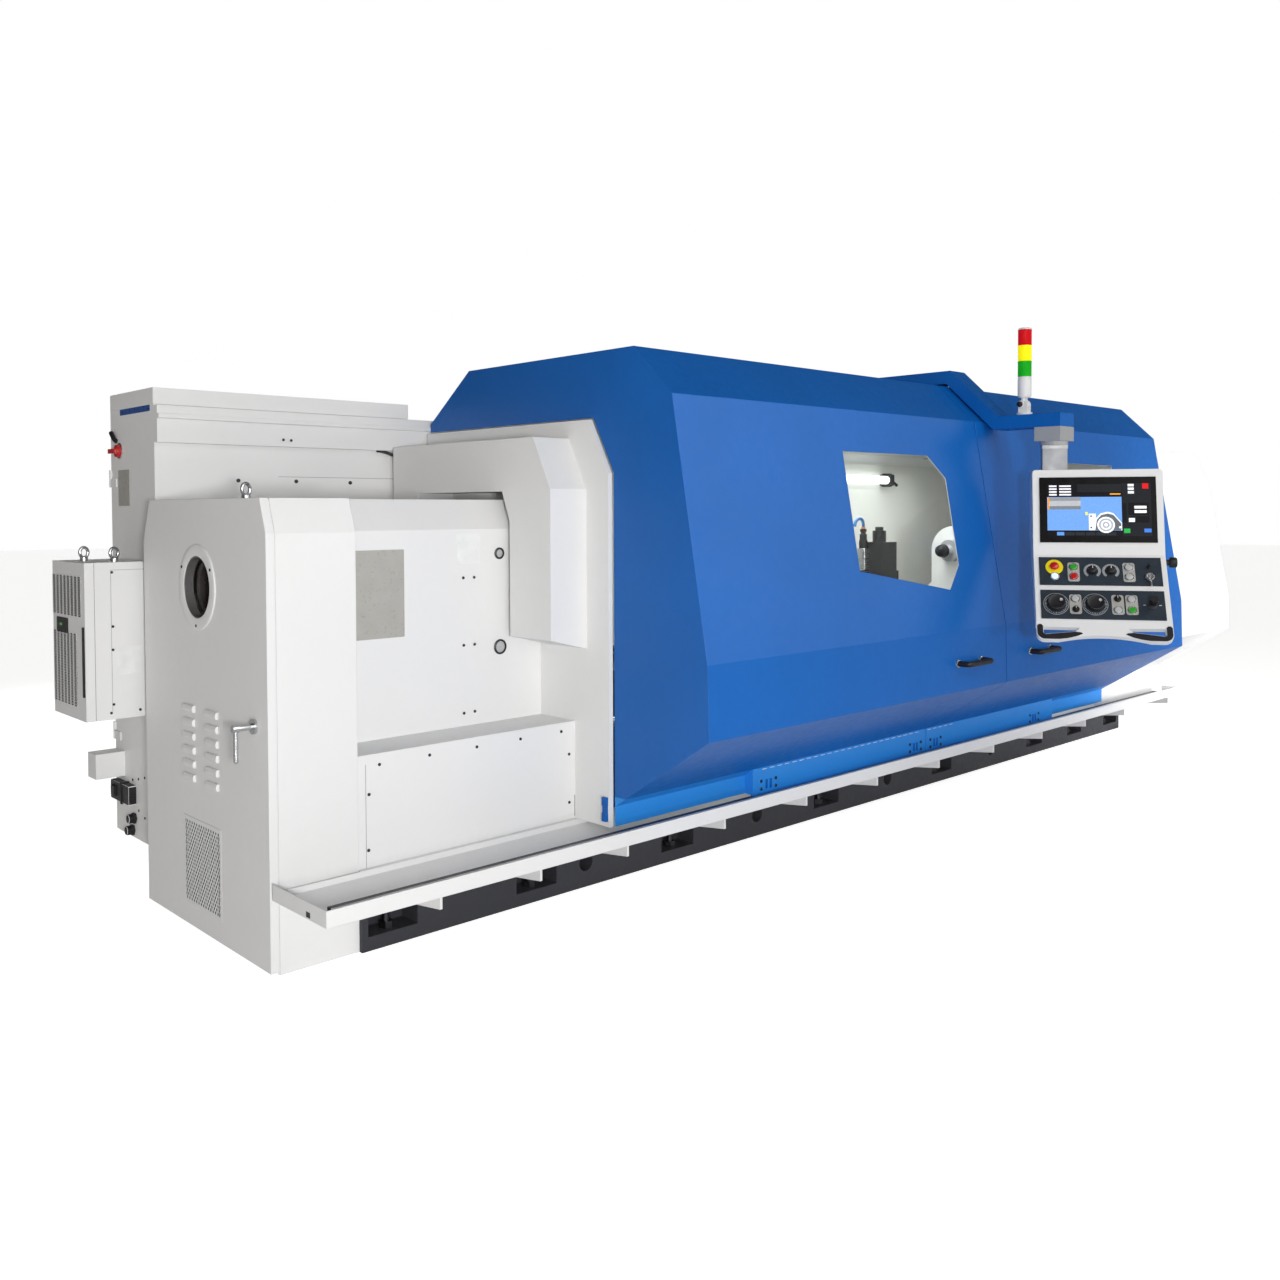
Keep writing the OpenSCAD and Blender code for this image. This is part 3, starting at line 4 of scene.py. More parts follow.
import bmesh
import bpy
import numpy as np
from mathutils import Euler, Matrix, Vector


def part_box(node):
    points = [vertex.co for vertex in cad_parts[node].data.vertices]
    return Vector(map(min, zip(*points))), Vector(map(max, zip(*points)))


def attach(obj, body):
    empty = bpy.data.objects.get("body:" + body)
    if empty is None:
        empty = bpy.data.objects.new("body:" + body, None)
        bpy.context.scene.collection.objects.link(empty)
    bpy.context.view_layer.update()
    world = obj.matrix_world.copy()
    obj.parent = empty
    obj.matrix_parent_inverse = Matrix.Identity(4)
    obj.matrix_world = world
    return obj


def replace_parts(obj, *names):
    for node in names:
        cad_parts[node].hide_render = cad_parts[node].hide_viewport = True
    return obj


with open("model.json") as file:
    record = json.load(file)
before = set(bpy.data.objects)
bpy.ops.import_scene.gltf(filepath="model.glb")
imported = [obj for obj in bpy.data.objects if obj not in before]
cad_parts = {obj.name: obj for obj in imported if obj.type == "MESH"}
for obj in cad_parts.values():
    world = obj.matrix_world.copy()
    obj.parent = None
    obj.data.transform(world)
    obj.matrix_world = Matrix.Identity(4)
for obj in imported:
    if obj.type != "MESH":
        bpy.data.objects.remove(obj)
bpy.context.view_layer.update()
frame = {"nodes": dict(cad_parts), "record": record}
print("frame loaded:", len(frame["nodes"]), "nodes")

mm = 0.001
sunk = -0.3  # plates start this far inside the face they sit on
faces = {  # right, up and out of each side that carries small fittings
    "front": ((1, 0, 0), (0, 0, 1), (0, -1, 0)),
    "left": ((0, -1, 0), (0, 0, 1), (-1, 0, 0)),
    "top": ((1, 0, 0), (0, 1, 0), (0, 0, 1)),
    "alongX": ((0, 1, 0), (0, 0, 1), (1, 0, 0)),
}


def gridFaces(rows, cols, closeRows=False, closeCols=False):  # the four corner numbers of each cell of a grid
    r, c = np.meshgrid(np.arange(rows if closeRows else rows - 1),
                       np.arange(cols if closeCols else cols - 1), indexing="ij")
    r, c = r.ravel(), c.ravel()
    below, beside = (r + 1) % rows, (c + 1) % cols
    return np.stack([r * cols + c, r * cols + beside, below * cols + beside, below * cols + c], -1).tolist()


def turned(profile, count=40, lobes=0, depth=0.0):  # (radius, height) pairs carried round, the radius waved by lobes
    r, z = np.asarray(profile, float).T
    a = np.arange(count) * 2 * np.pi / count
    wave = np.where(r[:, None] > 2 * depth, depth * np.cos(lobes * a), 0) if lobes else 0
    around = r[:, None] + wave
    p = np.stack([around * np.cos(a), around * np.sin(a), np.repeat(z[:, None], count, 1)], -1)
    return p.reshape(-1, 3), gridFaces(len(r), count, closeCols=True)


def inset(outline, d):  # every corner moves in along its mitre by d
    o = np.asarray(outline, float)
    e = np.roll(o, -1, 0) - o
    n = np.column_stack([-e[:, 1], e[:, 0]]) / np.linalg.norm(e, axis=1)[:, None]
    m = n + np.roll(n, 1, 0)
    return o + d * m / (m * n).sum(1)[:, None]


def circle(r, count):
    a = np.arange(count) * 2 * np.pi / count
    return np.column_stack([r * np.cos(a), r * np.sin(a)])


def roundedRect(w, h, r, k=5):  # four quarter circles joined by straight sides
    a = np.linspace(0, np.pi / 2, k)[None] + np.arange(4)[:, None] * np.pi / 2
    corner = np.array([[1, 1], [-1, 1], [-1, -1], [1, -1]]) * [w / 2 - r, h / 2 - r]
    return (corner[:, None] + r * np.stack([np.cos(a), np.sin(a)], -1)).reshape(-1, 2)


def arcBand(r0, r1, start, end, count=40):  # outline of an open ring between two angles in degrees
    a = np.radians(np.linspace(start, end, count))
    way = np.column_stack([np.cos(a), np.sin(a)])
    return np.vstack([way * r1, way[::-1] * r0])


def stacked(rows):  # outlines as rows of points, each at its own height
    return np.concatenate([np.column_stack([q, np.full(len(q), z)]) for q, z in rows])


def slab(outline, low, high, edge=0.0):  # the outline rises from low to high and draws in by edge at its top
    o = np.asarray(outline, float)
    rows = [(o, low), (o, high - edge), (inset(o, edge), high)] if edge else [(o, low), (o, high)]
    p, n = stacked(rows), len(o)
    ends = [list(range(n))[::-1], list(range(len(p) - n, len(p)))]
    return p, gridFaces(len(rows), n, closeCols=True) + ends


def plate(w, h, r, low, high, edge=0.0, k=5):  # a slab of a rounded rectangle
    return slab(roundedRect(w, h, r, k), low, high, edge)


def collar(outer, inner, low, high, edge=0.0):  # a flat ring between two outlines of as many points
    o, i = np.asarray(outer, float), np.asarray(inner, float)
    rows = [(o, low), (o, high - edge), (inset(o, edge), high),
            (inset(i, -edge), high), (i, high - edge), (i, low)]
    return stacked(rows), gridFaces(len(rows), len(o), True, True)


def softened(points, rounds=3):  # every corner is cut at a quarter of its two sides, again and again
    p = np.asarray(points, float)
    for _ in range(rounds):
        a, b = 0.75 * p[:-1] + 0.25 * p[1:], 0.25 * p[:-1] + 0.75 * p[1:]
        p = np.vstack([p[:1], np.stack([a, b], 1).reshape(-1, p.shape[1])[1:-1], p[-1:]])
    return p


def pipe(path, radius, side, count=16):  # a round section carried along a path
    p = np.asarray(path, float)
    t = np.gradient(p, axis=0)
    t /= np.linalg.norm(t, axis=1)[:, None]
    n = np.cross(t, side)
    n /= np.linalg.norm(n, axis=1)[:, None]
    b = np.cross(t, n)
    a = np.arange(count)[None, :, None] * 2 * np.pi / count
    r = np.broadcast_to(np.asarray(radius, float), len(p))[:, None, None]
    ring = p[:, None] + r * (np.cos(a) * n[:, None] + np.sin(a) * b[:, None])
    last = (len(p) - 1) * count
    ends = [list(range(count))[::-1], list(range(last, last + count))]
    return ring.reshape(-1, 3), gridFaces(len(p), count, closeCols=True) + ends


def joined(*parts):  # several parts as one, the face numbers shifted on
    points, allFaces, shift = [], [], 0
    for p, f in parts:
        points.append(p)
        allFaces += [[n + shift for n in face] for face in f]
        shift += len(p)
    return np.concatenate(points), allFaces


def repeated(part, places):  # the same part at every place
    p, f = part
    places = np.asarray(places, float)
    points = (p[None] + places[:, None]).reshape(-1, 3)
    return points, [[n + k * len(p) for n in face] for k in range(len(places)) for face in f]


def moved(part, by=(0, 0, 0), turn=0.0):  # turned about its own axis in degrees, then moved
    c, s = math.cos(math.radians(turn)), math.sin(math.radians(turn))
    return part[0] @ np.array([[c, s, 0], [-s, c, 0], [0, 0, 1]]) + np.asarray(by, float), part[1]


def place(part, at, axes):  # width, height and depth of a part along right, up and out of a face
    right, up, out = (np.asarray(v, float) for v in (faces[axes] if isinstance(axes, str) else axes))
    p = part[0]
    return np.asarray(at, float) + p[:, :1] * right + p[:, 1:2] * up + p[:, 2:3] * out, part[1]


def makePiece(name, part, slotName, body="machine", finish=None, crease=35, weld=True):  # without a finish, its slot's
    points, polygons = part
    mesh = bpy.data.meshes.new(name)
    mesh.from_pydata((np.asarray(points) * mm).tolist(), [], polygons)
    work = bmesh.new()
    work.from_mesh(mesh)
    if weld:
        bmesh.ops.remove_doubles(work, verts=work.verts, dist=1e-6)
    bmesh.ops.recalc_face_normals(work, faces=work.faces)
    work.to_mesh(mesh)
    work.free()
    mesh.shade_smooth()
    mesh.set_sharp_from_angle(angle=math.radians(crease))
    mesh.materials.append(finishes[slotName] if finish is None else finish)
    piece = bpy.data.objects.new(name, mesh)
    bpy.context.collection.objects.link(piece)
    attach(piece, body)
    return piece


def fitted(name, part, at, side, slotName, body="machine", **look):  # a piece made on a face
    return makePiece(name, place(part, at, side), slotName, body, **look)


def newFinish(name):
    finish = bpy.data.materials.new(name)
    finish.use_nodes = True
    tree = finish.node_tree
    return finish, tree, tree.nodes["Principled BSDF"]


def feed(tree, node, values):  # each input gets a value, or a link from a socket
    for key, value in values.items():
        if isinstance(value, bpy.types.NodeSocket):
            tree.links.new(value, node.inputs[key])
        else:
            node.inputs[key].default_value = value


def newNode(tree, kind, values=None, **settings):  # the outputs of a new node
    node = tree.nodes.new("ShaderNode" + kind)
    for key, value in settings.items():
        setattr(node, key, value)
    feed(tree, node, values or {})
    return node.outputs


def grainOf(tree, scale, detail=4.0, stretch=(1, 1, 1)):  # noise on Object coordinates
    sized = newNode(tree, "Mapping", {"Vector": newNode(tree, "TexCoord")["Object"], "Scale": stretch})
    return newNode(tree, "TexNoise", {"Vector": sized["Vector"], "Scale": scale, "Detail": detail})["Fac"]


def spread(tree, value, low, high, to0, to1):  # a value from low to high becomes to0 to to1
    values = {"Value": value, "From Min": low, "From Max": high, "To Min": to0, "To Max": to1}
    return newNode(tree, "MapRange", values)["Result"]


def clouds(tree, scale, detail, to0=0.0, to1=1.0):  # noise whose middle range is spread from to0 to to1
    return spread(tree, grainOf(tree, scale, detail), 0.3, 0.7, to0, to1)


def mixed(tree, factor, first, second):  # two colours by a factor; a colour is a value or a socket
    first, second = ((*c, 1) if isinstance(c, tuple) else c for c in (first, second))
    return newNode(tree, "Mix", {0: factor, 6: first, 7: second}, data_type="RGBA")[2]  # its colour sockets


def sums(tree, operation, first, second, kind="Math", output=0):
    return newNode(tree, kind, {0: first, 1: second}, operation=operation)[output]


def dotOf(tree, first, second):
    return sums(tree, "DOT_PRODUCT", first, second, "VectorMath", "Value")


def shade(colour, by):
    return tuple(min(1.0, max(0.0, c * by)) for c in colour)


def roundedNormal(tree, radius):  # normals rounded along the edges
    return newNode(tree, "Bevel", {"Radius": radius}, samples=4)["Normal"]


def bumped(tree, height, strength, distance, normal):  # fine relief on top of the rounded edges
    values = {"Strength": strength, "Distance": distance, "Height": height, "Normal": normal}
    return newNode(tree, "Bump", values)["Normal"]


def enamel(name, colour, tone=0.05, rough=(0.36, 0.5), specular=0.5, peel=0.05, edge=0.0025, wearAndHighlight=0.35, cloud=1.4):
    finish, tree, shader = newFinish(name)
    big = spread(tree, grainOf(tree, cloud, 5), 0.32, 0.68, 0, 1)
    coat = mixed(tree, big, shade(colour, 1 - tone), shade(colour, 1 + 0.7 * tone))
    specks = spread(tree, grainOf(tree, 34, 6), 0.35, 0.8, 0, 0.35)
    coat = mixed(tree, specks, coat, shade(colour, 1 - 1.6 * tone))
    normal = roundedNormal(tree, edge)
    flat = newNode(tree, "NewGeometry")["Normal"]
    lean = spread(tree, dotOf(tree, normal, flat), 0.995, 0.80, 0.0, 1.0)  # how far an edge leans off the face
    # edges turn lighter: partly paint rubbed thin, partly a painted highlight where the edges catch the light
    rubbedAndLitEdge = tuple(min(1, c * 1.1 + 0.05) for c in colour)
    feed(tree, shader, {"Base Color": mixed(tree, sums(tree, "MULTIPLY", lean, wearAndHighlight), coat, rubbedAndLitEdge),
                        "Roughness": clouds(tree, 34, 6, *rough), "Specular IOR Level": specular,
                        "Normal": bumped(tree, grainOf(tree, 260, 2), peel, 0.0008, normal)})
    return finish


def steel(name, colour, rough=(0.22, 0.38), tone=0.12):  # drawn lines along X, broken up by clouds
    finish, tree, shader = newFinish(name)
    lines = spread(tree, grainOf(tree, 1.0, 6, (6, 220, 220)), 0.3, 0.7, 0, 1)
    cloud = clouds(tree, 7, 5)
    metal = mixed(tree, lines, shade(colour, 1 - tone), shade(colour, 1 + tone))
    metal = mixed(tree, spread(tree, cloud, 0, 1, 0, 0.5), metal, shade(colour, 1 - 1.5 * tone))
    feed(tree, shader, {"Base Color": metal, "Metallic": 1.0,
                        "Roughness": spread(tree, sums(tree, "MULTIPLY", lines, cloud), 0, 0.6, *rough),
                        "Normal": bumped(tree, lines, 0.06, 0.0004, roundedNormal(tree, 0.0008))})
    return finish


def moulded(name, colour, rough=(0.28, 0.42), tone=0.06, grain=0.08, glow=0.0, specular=0.5):
    finish, tree, shader = newFinish(name)
    lighter = tuple(min(1, c * (1 + tone) + 0.004) for c in colour)
    skin = mixed(tree, clouds(tree, 22, 5), shade(colour, 1 - tone), lighter)
    feed(tree, shader, {"Base Color": skin, "Roughness": clouds(tree, 90, 4, *rough), "Specular IOR Level": specular,
                        "Normal": bumped(tree, grainOf(tree, 900, 2), grain, 0.0003, roundedNormal(tree, 0.0008))})
    if glow:
        feed(tree, shader, {"Emission Color": skin, "Emission Strength": glow})
    return finish


def coatOf(finish):  # a finish's nodes, the socket of its colour, and the place split into X, Y and Z
    tree = finish.node_tree
    shader = tree.nodes["Principled BSDF"]
    where = newNode(tree, "TexCoord")["Object"]
    coat = shader.inputs["Base Color"].links[0].from_socket
    return tree, shader, coat, where, newNode(tree, "SeparateXYZ", {0: where})


whiteColour, blueColour, innerColour = (0.79, 0.79, 0.785), (0.002, 0.116, 0.45), (0.69, 0.69, 0.65)
sheetLook = {"tone": 0.02, "rough": (0.38, 0.52), "specular": 0.25}
lensLook = {"rough": (0.08, 0.16), "grain": 0.02, "specular": 0.15}
hoods = {"left": (-0.776, -0.35, 1.05), "right": (1.024, -0.35, 1.05),  # the middle of each
         "footHigh": 0.346, "footFront": -0.6, "footBlue": (0.028, 0.27, 0.74)}


def hoodEnamel(name, centre):  # blue where a face looks away from the hood's middle, pale where it looks in
    finish = enamel(name, blueColour, tone=0.07, rough=(0.34, 0.42), specular=0.34, edge=0.003, wearAndHighlight=0.3, cloud=2.2)
    tree, shader, coat, where, split = coatOf(finish)
    off = sums(tree, "SUBTRACT", where, centre, "VectorMath")
    away = dotOf(tree, off, newNode(tree, "NewGeometry")["True Normal"])
    foot = sums(tree, "MULTIPLY", sums(tree, "LESS_THAN", split["Z"], hoods["footHigh"]),
                sums(tree, "LESS_THAN", split["Y"], hoods["footFront"]))
    coat = mixed(tree, foot, coat, hoods["footBlue"])  # the runner plate is the paler blue
    inner = mixed(tree, clouds(tree, 2.0, 5), shade(innerColour, 0.94), shade(innerColour, 1.04))
    look = sums(tree, "MULTIPLY", spread(tree, away, -0.001, 0.001, 1, 0),
                sums(tree, "GREATER_THAN", split["Z"], hoods["footHigh"]))
    feed(tree, shader, {"Base Color": mixed(tree, look, coat, inner)})
    return finish


def markedEnamel(name, mark, low, high):  # white enamel with another colour inside a box given in metres
    finish = enamel(name, whiteColour, **sheetLook)
    tree, shader, coat, _, split = coatOf(finish)
    tests = [sums(tree, test, split[k], edge) for k in range(3)
             for test, edge in (("GREATER_THAN", low[k]), ("LESS_THAN", high[k]))]
    inside = tests[0]
    for test in tests[1:]:
        inside = sums(tree, "MULTIPLY", inside, test)
    spot = mixed(tree, clouds(tree, 40, 4), shade(mark, 0.8), shade(mark, 1.2))
    feed(tree, shader, {"Base Color": mixed(tree, inside, coat, spot)})
    return finish


def clearPane(name, tint):
    finish, tree, shader = newFinish(name)
    smear = spread(tree, grainOf(tree, 3.5, 6, (1, 1, 0.5)), 0.35, 0.75, 0.0, 0.012)
    glass = mixed(tree, clouds(tree, 1.2, 4), shade(tint, 0.97), tint)
    feed(tree, shader, {"Base Color": glass, "Roughness": smear, "Transmission Weight": 1.0, "IOR": 1.12,
                        "Specular IOR Level": 0.05})
    clear = newNode(tree, "BsdfTransparent", {"Color": (0.93, 0.96, 0.95, 1)})
    shadow = newNode(tree, "LightPath")["Is Shadow Ray"]
    mix = newNode(tree, "MixShader", {0: shadow, 1: shader.outputs[0], 2: clear[0]})
    feed(tree, tree.nodes["Material Output"], {"Surface": mix[0]})
    return finish


def tintedBy(name, attribute, rough, glow):  # colours from the piece's own attribute, broken up by fine noise
    finish, tree, shader = newFinish(name)
    tint = newNode(tree, "VertexColor", layer_name=attribute)["Color"]
    skin = mixed(tree, clouds(tree, 180, 3, 0, 0.18), tint, (0.02, 0.02, 0.03))
    feed(tree, shader, {"Base Color": skin, "Roughness": clouds(tree, 60, 4, rough * 0.8, rough * 1.2),
                        "Specular IOR Level": 0.08, "Emission Color": skin, "Emission Strength": glow})
    return finish


finishes = {
    "base_paint": enamel("castingGrey", (0.042, 0.043, 0.050), tone=0.1, rough=(0.34, 0.5), specular=0.18,
                         peel=0.12, edge=0.004, wearAndHighlight=0.1),
    "white_paint": enamel("sheetWhite", whiteColour, **sheetLook),
    "blue_paint": hoodEnamel("hoodBlueLeft", hoods["left"]),
    "inner_paint": enamel("innerPale", innerColour, tone=0.05, rough=(0.35, 0.5)),
    "grey_paint": enamel("satinGrey", (0.36, 0.37, 0.385), tone=0.05),
    "machined_steel": steel("groundSteel", (0.56, 0.57, 0.59)),
    "dark_steel": steel("blackenedSteel", (0.055, 0.057, 0.062), rough=(0.35, 0.5)),
    "bright_steel": steel("polishedSteel", (0.62, 0.63, 0.65), rough=(0.18, 0.32), tone=0.08),
    "belt_rubber": moulded("beltRubber", (0.022, 0.022, 0.023), rough=(0.6, 0.8), grain=0.2),
    "black_plastic": moulded("blackMoulding", (0.012, 0.012, 0.014), rough=(0.32, 0.5), grain=0.15, specular=0.25),
    "pane_clear": clearPane("clearPane", (0.93, 0.97, 0.96)),
    "screen_glass": moulded("screenBlack", (0.004, 0.004, 0.005), rough=(0.1, 0.2), grain=0.0, specular=0.08),
    "plate_slate": moulded("slateFoil", (0.024, 0.033, 0.045), rough=(0.38, 0.5), tone=0.1, specular=0.15),
    "lamp_white": moulded("lampTube", (0.9, 0.93, 0.93), glow=2.4),
    "lens_colours": moulded("lensYellow", (0.90, 0.80, 0.004), glow=0.4, **lensLook),
    "red_plastic": moulded("redMoulding", (0.55, 0.01, 0.012), rough=(0.14, 0.24)),
    "green_plastic": moulded("greenMoulding", (0.03, 0.30, 0.025), rough=(0.16, 0.26), glow=0.15),
    "white_plastic": moulded("litWhite", (0.66, 0.78, 0.95), rough=(0.16, 0.26), glow=0.5),
    "grey_plastic": moulded("greyMoulding", (0.46, 0.47, 0.47), rough=(0.22, 0.34)),
}
hoodBlueRight = hoodEnamel("hoodBlueRight", hoods["right"])
armBlue = enamel("armBlue", blueColour, tone=0.06, rough=(0.34, 0.5), specular=0.25, edge=0.003, wearAndHighlight=0.3)
# tray white with a near-black band on the track: partly the track's dark steel, partly painted shade of its shadowed
# side and channel
trayWhitePaintedTrackShade = markedEnamel("trayWhitePaintedTrackShade", (0.035, 0.036, 0.042), (-3, -0.6895, 0.2265), (3, -0.6665, 0.2420))
coolerWhite = markedEnamel("coolerWhite", (0.014, 0.014, 0.015), (-3, 0, 0), (-2.9752, 1, 2))
galvanised = enamel("galvanised", (0.33, 0.34, 0.36), tone=0.16, rough=(0.3, 0.5), cloud=9, edge=0.001)
seamGrey = moulded("seamGrey", (0.20, 0.20, 0.21), rough=(0.5, 0.6))
plateBlue = moulded("plateBlue", (0.012, 0.07, 0.30), rough=(0.25, 0.35))
lensRed = moulded("lensRed", (0.56, 0.004, 0.008), glow=0.28, **lensLook)
lensGreen = moulded("lensGreen", (0.008, 0.36, 0.012), glow=0.25, **lensLook)
yellowPlate = moulded("yellowPlate", (0.90, 0.74, 0.01), rough=(0.25, 0.35))
beigePlate = moulded("beigePlate", (0.40, 0.39, 0.36), rough=(0.25, 0.38), tone=0.04)
scaleGrey = moulded("scaleGrey", (0.30, 0.32, 0.33), rough=(0.3, 0.4))
markWhite = moulded("markWhite", (0.8, 0.81, 0.8), rough=(0.3, 0.4))
# near black for the plates behind perforated sheet: painted shade of the hollow seen through the holes
holeShadeBlack = moulded("holeShadeBlack", (0.012, 0.012, 0.013), rough=(0.5, 0.7))
tubeLook = {"tone": 0.2, "edge": 0.001, "cloud": 16}
tubeSilver = enamel("tubeSilver", (0.125, 0.12, 0.118), rough=(0.14, 0.26), specular=1.0, **tubeLook)
tubeDark = enamel("tubeDark", (0.050, 0.044, 0.042), rough=(0.2, 0.34), specular=0.6, **tubeLook)
hoseBlue = moulded("hoseBlue", (0.03, 0.16, 0.42), rough=(0.25, 0.38))
hoseOrange = moulded("hoseOrange", (0.75, 0.2, 0.02), rough=(0.25, 0.38))

ownFinish = {"right_hood": hoodBlueRight, "control_arm": armBlue, "front_rail": trayWhitePaintedTrackShade,
             "cooling_unit": coolerWhite, "quill": finishes["grey_paint"], "tool_post": finishes["black_plastic"],
             "tower_base": finishes["white_paint"], "eyebolts": finishes["machined_steel"]}
slotOf = {part["node"]: part["material_slot"] for part in frame["record"]["subparts"]}
for node, cadPiece in frame["nodes"].items():
    cadPiece.data.materials.clear()
    cadPiece.data.materials.append(ownFinish.get(node, finishes[slotOf[node]]))
print("finishes on", len(slotOf), "nodes")


photoView = {"at": (-4.249, -3.481, 1.300), "yaw": 43.516, "pitch": -1.672, "roll": -0.19,
             "sensor": 36.0, "lens": 32.55, "shiftY": -0.0748, "near": 0.05, "far": 200}
lens = bpy.data.cameras.new("photoCamera")
lens.sensor_width, lens.lens, lens.shift_y = photoView["sensor"], photoView["lens"], photoView["shiftY"]
lens.clip_start, lens.clip_end = photoView["near"], photoView["far"]
camera = bpy.data.objects.new("photoCamera", lens)
camera.matrix_world = Matrix.Translation(photoView["at"]) @ (
    Euler((math.radians(90 + photoView["pitch"]), 0, math.radians(-photoView["yaw"]))).to_matrix()
    @ Matrix.Rotation(math.radians(photoView["roll"]), 3, "Z")).to_4x4()
bpy.context.collection.objects.link(camera)
bpy.context.scene.camera = camera


cable = {"from": (-1900, 466, 1534), "to": (-1532, 466, 1534), "drop": 31, "diameter": 13, "points": 36,
         "steep": 2.6, "rings": 300, "rib": 0.07, "pitch": 4}
u = np.linspace(0, 1, cable["points"])
sag = cable["drop"] * np.sin(0.5 * np.pi * np.clip(np.minimum(u, 1 - u) * cable["steep"], 0, 1)) ** 2
cableX = cable["from"][0] + (cable["to"][0] - cable["from"][0]) * u
cablePath = np.column_stack([cableX, np.full_like(u, cable["from"][1]), cable["from"][2] - sag])
steps = np.linspace(0, 1, cable["rings"])
fine = np.column_stack([np.interp(steps, u, cablePath[:, k]) for k in range(3)])
wave = np.cos(np.arange(cable["rings"]) * 2 * np.pi / cable["pitch"])
ribs = cable["diameter"] / 2 * (1 - cable["rib"] + cable["rib"] * wave)
beamCable = makePiece("beamCable", pipe(fine, ribs, (0, 1, 0), 14), "belt_rubber", crease=80)


def aim(obj, toward):  # the lamp's own -Z looks along toward
    z = -np.asarray(toward, float) / np.linalg.norm(toward)
    x = np.cross((0, 0, 1), z) if abs(z[2]) < 0.99 else np.array([1.0, 0, 0])
    x /= np.linalg.norm(x)
    y = np.cross(z, x)
    obj.rotation_euler = Matrix(np.column_stack([x, y, z]).tolist()).to_euler()


def softbox(width, height, angle=180):
    return {"shape": "RECTANGLE", "size": width, "size_y": height, "spread": math.radians(angle)}


lamps = {  # kind, place, direction, power, sizes, and whether it shines back
    "keySun": ("SUN", (0, -6, 3), (0.262, 0.963, -0.02), 0.35, {"angle": math.radians(4)}, True),
    "flash": ("AREA", (-4.4, -4.7, 1.15), (0.58, 0.81, 0), 126, {"shape": "DISK", "size": 0.5}, True),
    "rightSoftbox": ("AREA", (3.7, -3.8, 0.9), (-0.27, 0.96, 0), 21, softbox(1.4, 1.4, 50), False),
    "topSoftbox": ("AREA", (0.2, -4.2, 3.6), (0, 0.72, -0.7), 42, softbox(3.0, 1.5), False),
    "backSoftbox": ("AREA", (0.8, 6.5, 2.6), (-0.1, -1, -0.2), 120, softbox(5.0, 2.0, 120), False),
    "hoodLamp": ("AREA", (0.55, 0.0, 1.66), (0, -0.3, -1), 17, softbox(2.0, 0.3), True),
}
for name, (kind, at, toward, energy, sizes, shines) in lamps.items():
    lamp = bpy.data.lights.new(name, kind)
    lamp.energy = energy
    for key, value in sizes.items():
        setattr(lamp, key, value)
    obj = bpy.data.objects.new(name, lamp)
    obj.location = at
    aim(obj, toward)
    obj.visible_glossy = shines
    bpy.context.collection.objects.link(obj)


def straightRays(tree):  # the kinds of ray, and those that come straight from the view
    seen = newNode(tree, "LightPath")
    return seen, sums(tree, "MAXIMUM", seen["Is Camera Ray"], seen["Is Transmission Ray"])


studio = {"world": 0.37, "warm": (1.0, 0.965, 0.925), "shine": (0.08, 3.2), "floorGlow": 0.80, "floorBack": 0.15,
          "floorHalf": 40, "floorDrop": 0.0005}
world = bpy.data.worlds.new("studio")
bpy.context.scene.world = world
world.use_nodes = True
sky = world.node_tree
seen, straight = straightRays(sky)
wayX, wayY, wayZ = newNode(sky, "SeparateXYZ", {0: newNode(sky, "TexCoord")["Generated"]})
gloss = sums(sky, "MULTIPLY", spread(sky, wayY, -0.50, -0.62, 0, 1), spread(sky, wayZ, -0.02, 0.14, 0, 1))
gloss = spread(sky, gloss, 0, 1, *studio["shine"])  # a large pale screen in front is what shines back
around = sums(sky, "MULTIPLY", spread(sky, wayZ, 0.05, 0.8, 1.0, 0.16), spread(sky, wayX, -1, 1, 1.62, 0.6))
around = sums(sky, "MULTIPLY", around, spread(sky, seen["Is Glossy Ray"], 0, 1, studio["world"], 0.0))
level = sums(sky, "ADD", sums(sky, "MULTIPLY", seen["Is Glossy Ray"], gloss), around)  # least from above
feed(sky, sky.nodes["Background"], {"Color": mixed(sky, straight, studio["warm"], (1, 1, 1)),
                                    "Strength": sums(sky, "MAXIMUM", level, straight)})

floorFinish, floorTree, floorShader = newFinish("paleFloor")
_, floorStraight = straightRays(floorTree)
floorTone = mixed(floorTree, clouds(floorTree, 3, 5), (0.80, 0.80, 0.80), (0.84, 0.84, 0.84))
floorShine = spread(floorTree, floorStraight, 0, 1, studio["floorBack"], studio["floorGlow"])
feed(floorTree, floorShader, {"Base Color": floorTone, "Roughness": 0.9, "Specular IOR Level": 0.1,
                              "Emission Color": (1, 1, 1, 1), "Emission Strength": floorShine})
floorMesh = bpy.data.meshes.new("floor")
half, drop = studio["floorHalf"], studio["floorDrop"]
corners = [(x * half, y * half, -drop) for x, y in ((-1, -1), (1, -1), (1, 1), (-1, 1))]
floorMesh.from_pydata(corners, [], [(0, 1, 2, 3)])
floorMesh.materials.append(floorFinish)
floor = bpy.data.objects.new("floor", floorMesh)
bpy.context.collection.objects.link(floor)
bpy.context.scene.view_settings.view_transform = "Standard"


def screwHead(r, h):  # a low round head with a sunk socket
    return turned([(0, 0.35 * h), (0.5 * r, 0.35 * h), (0.52 * r, h), (0.85 * r, h), (r, 0.6 * h), (r, -0.4),
                   (0, -0.4)], 14)


def screwSet(name, side, depth, spots, r, h=3.0, body="machine"):
    spots = np.asarray(spots, float)
    deep = np.full(len(spots), depth)
    at = np.column_stack([spots[:, 0], deep, spots[:, 1]] if side == "front" else [deep, spots])
    makePiece(name, repeated(place(screwHead(r, h), (0, 0, 0), side), at), "dark_steel", body)


def faceOf(node, side):  # how far a node reaches to the front or the left, in millimetres
    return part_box(node)[0][1 if side == "front" else 0] / mm


